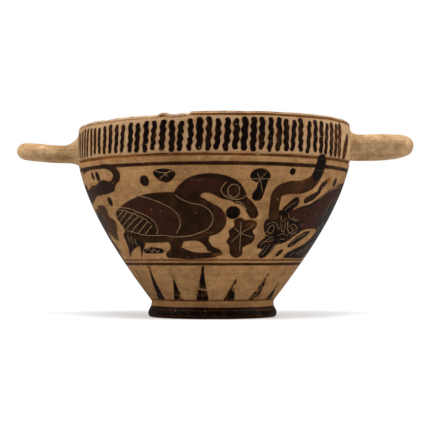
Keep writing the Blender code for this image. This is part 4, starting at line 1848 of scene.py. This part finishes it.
def fresh_material(name: str, shown: Colour,
                   shine: float = 0.04) -> tuple[bpy.types.Material, NodeSheet, bpy.types.Node]:
    """Starts a material.

    Args:
        name: Its name.
        shown: Its colour in the viewport.
        shine: Its specular level.

    Returns:
        The material, its sheet and its Principled shader.
    """
    material = bpy.data.materials.new(name)
    material.use_nodes = True
    material.diffuse_color = (*shown, 1.0)
    shader = material.node_tree.nodes["Principled BSDF"]
    shader.inputs["Metallic"].default_value = 0.0
    shader.inputs["Specular IOR Level"].default_value = shine
    return material, NodeSheet(material.node_tree), shader


def add_bump(n: NodeSheet, shader: bpy.types.Node, height: Socket, strength: float,
             distance: float = 0.0004) -> None:
    """Joins a height to the shader's normal."""
    bump = n.node("ShaderNodeBump")
    n.plug(bump.inputs["Height"], height)
    bump.inputs["Strength"].default_value = strength
    bump.inputs["Distance"].default_value = distance
    n.plug(shader.inputs["Normal"], bump.outputs["Normal"])


@dataclass
class Finishes:
    """Every finish of the cup, in the order of Finish."""

    clay: Clay = Clay("buff_clay", (0.385, 0.214, 0.090), (0.215, 0.112, 0.044), pale=(0.41, 0.262, 0.143))
    worn: Clay = Clay("worn_clay", (0.46, 0.30, 0.17), (0.25, 0.17, 0.11), grits=0.5, roughness=0.82,
                      bump=0.4)
    handle: Clay = Clay("handle_clay", (0.555, 0.37, 0.200), (0.275, 0.160, 0.071), grits=0.6, bump=0.35)
    cut: Clay = Clay("incised_clay", (0.27, 0.16, 0.08), (0.15, 0.09, 0.05), grits=0.2, roughness=0.85)

    def materials(self) -> list[bpy.types.Material]:
        """Builds each material."""
        effects = Effects()
        glaze = Paint("black_glaze", (0.0026, 0.001, 0.0005), (0.235, 0.086, 0.021), self.clay, fringe=0.18)
        red = Paint("purple_red", (0.008, 0.003, 0.002), (0.030, 0.012, 0.006), self.clay,
                    over=(0.031, 0.0088, 0.0046), roughness=0.6, fringe=0.3)
        lining = Lining("bowl_lining", (0.012, 0.007, 0.005), (0.10, 0.038, 0.016), self.clay)
        made = {
            Finish.CLAY: self.clay.material(effects),
            Finish.GLAZE: glaze.material(effects),
            Finish.RED: red.material(effects),
            Finish.CUT: self.cut.material(effects),
            Finish.LINING: lining.material(effects),
            Finish.BARE: self.worn.material(effects),
            Finish.HANDLE: self.handle.material(effects),
        }
        return [made[finish] for finish in Finish]


@dataclass
class Studio:
    """The pale floor, the soft lights and the camera, in metres; lamps hold name, place, size and power."""

    floor_size: float = 0.9
    floor_glow: float = 0.19
    floor_colour: Colour = (0.67, 0.67, 0.67)
    sky: float = 0.3
    image_width: int = 432
    focal_pixels: float = 1270.0
    sensor_mm: float = 36.0
    eye: tuple[float, float, float] = (0.00116, -0.591, 0.028)
    pitch_deg: float = 1.8
    aim: tuple[float, float, float] = (0.0, 0.0, 0.05)
    lamps: tuple[tuple[str, tuple[float, float, float], float, float], ...] = (
        ("overhead_softbox", (-0.02, -0.42, 1.05), 0.5, 8.0),
        ("front_softbox", (-0.1, -1.2, 0.45), 0.9, 0.3),
        ("left_softbox", (-0.64, -0.08, 0.68), 0.7, 7.4),
        ("right_softbox", (0.64, -0.05, 0.66), 0.7, 8.0),
    )

    def build(self) -> None:
        """Builds the whole studio."""
        self.floor()
        self.lights()
        self.camera()

    def floor(self) -> None:
        """A wide plain floor."""
        mesh = bmesh.new()
        bmesh.ops.create_grid(mesh, x_segments=2, y_segments=2, size=self.floor_size / 2)
        data = bpy.data.meshes.new("studio_floor")
        mesh.to_mesh(data)
        mesh.free()
        floor = bpy.data.objects.new("studio_floor", data)
        bpy.context.scene.collection.objects.link(floor)
        material, n, shader = fresh_material("studio_white", self.floor_colour)
        shader.inputs["Base Color"].default_value = (*self.floor_colour, 1.0)
        shader.inputs["Roughness"].default_value = 0.9
        shader.inputs["Emission Color"].default_value = (1.0, 1.0, 1.0, 1.0)
        seen = n.node("ShaderNodeLightPath").outputs["Is Camera Ray"]
        n.plug(shader.inputs["Emission Strength"], n.times(seen, self.floor_glow))
        data.materials.append(material)

    def lights(self) -> None:
        """An even white sky, a soft light above, a weak one in front and one high up at each side."""
        world = bpy.data.worlds.new("studio_sky")
        bpy.context.scene.world = world
        world.use_nodes = True
        back = world.node_tree.nodes["Background"]
        back.inputs["Color"].default_value = (1.0, 1.0, 1.0, 1.0)
        n = NodeSheet(world.node_tree)
        seen = n.node("ShaderNodeLightPath").outputs["Is Camera Ray"]
        n.plug(back.inputs["Strength"], n.span(seen, 0.0, 1.0, self.sky, 1.0))
        for name, place, size, power in self.lamps:
            light = bpy.data.lights.new(name, "AREA")
            light.shape = "DISK"
            light.size = size
            light.energy = power
            lamp = bpy.data.objects.new(name, light)
            lamp.location = place
            ray = Vector(self.aim) - Vector(place)
            lamp.rotation_euler = ray.to_track_quat("-Z", "Y").to_euler()
            bpy.context.scene.collection.objects.link(lamp)

    def camera(self) -> None:
        """A long lens just under the cup's middle, tipped up a little."""
        data = bpy.data.cameras.new("photo_camera")
        data.sensor_width = self.sensor_mm
        data.lens = self.sensor_mm * self.focal_pixels / self.image_width
        data.clip_start, data.clip_end = 0.01, 20.0
        camera = bpy.data.objects.new("photo_camera", data)
        camera.location = self.eye
        camera.rotation_euler = (math.radians(90 + self.pitch_deg), 0.0, 0.0)
        bpy.context.scene.collection.objects.link(camera)
        bpy.context.scene.camera = camera


def main() -> None:
    """Draws the painting, builds the cup and sets it in the studio."""
    logging.basicConfig(level=logging.INFO, format="%(name)s: %(message)s")
    bpy.context.scene.view_settings.view_transform = "Standard"
    section = Section()
    drawing = Drawing(section)
    parts = (
        (LipOrnament(), Spot()),
        (FootOrnament(), Spot()),
        (BigCat(), Spot(-72.0, 26.0)),
        (WaterBird(), Spot(-20.0, 26.0)),
        (Goat(), Spot(50.0, 26.0)),
        (WaterBird(), Spot(-193.0, 26.0, wide=0.74, tall=0.86)),
        (Fillers(), Spot()),
    )
    for part, where in parts:
        drawing.where = where
        part.draw(drawing)
    log.info("drawing: %d outlines", len(drawing.shapes))
    handles = [
        HandleLoop("left_loop", side=-1, stand_out=29.8, drop=13.0, rise=2.1, roll_deg=5.0, bar=4.1,
                   flare_above=5.6, section=section),
        HandleLoop("right_loop", side=1, stand_out=30.8, drop=10.2, rise=0.2, roll_deg=-3.8,
                   flare_above=2.9, flare_length=7.0, section=section),
    ]
    skin = CupSkin(section, HandmadeShape(section=section), drawing, handles)
    cup = skin.build("painted_cup")
    for material in Finishes().materials():
        cup.data.materials.append(material)
    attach(cup, "root")
    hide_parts(NODE)
    log.info("painted_cup dressed")
    Studio().build()


if __name__ == "__main__":
    main()
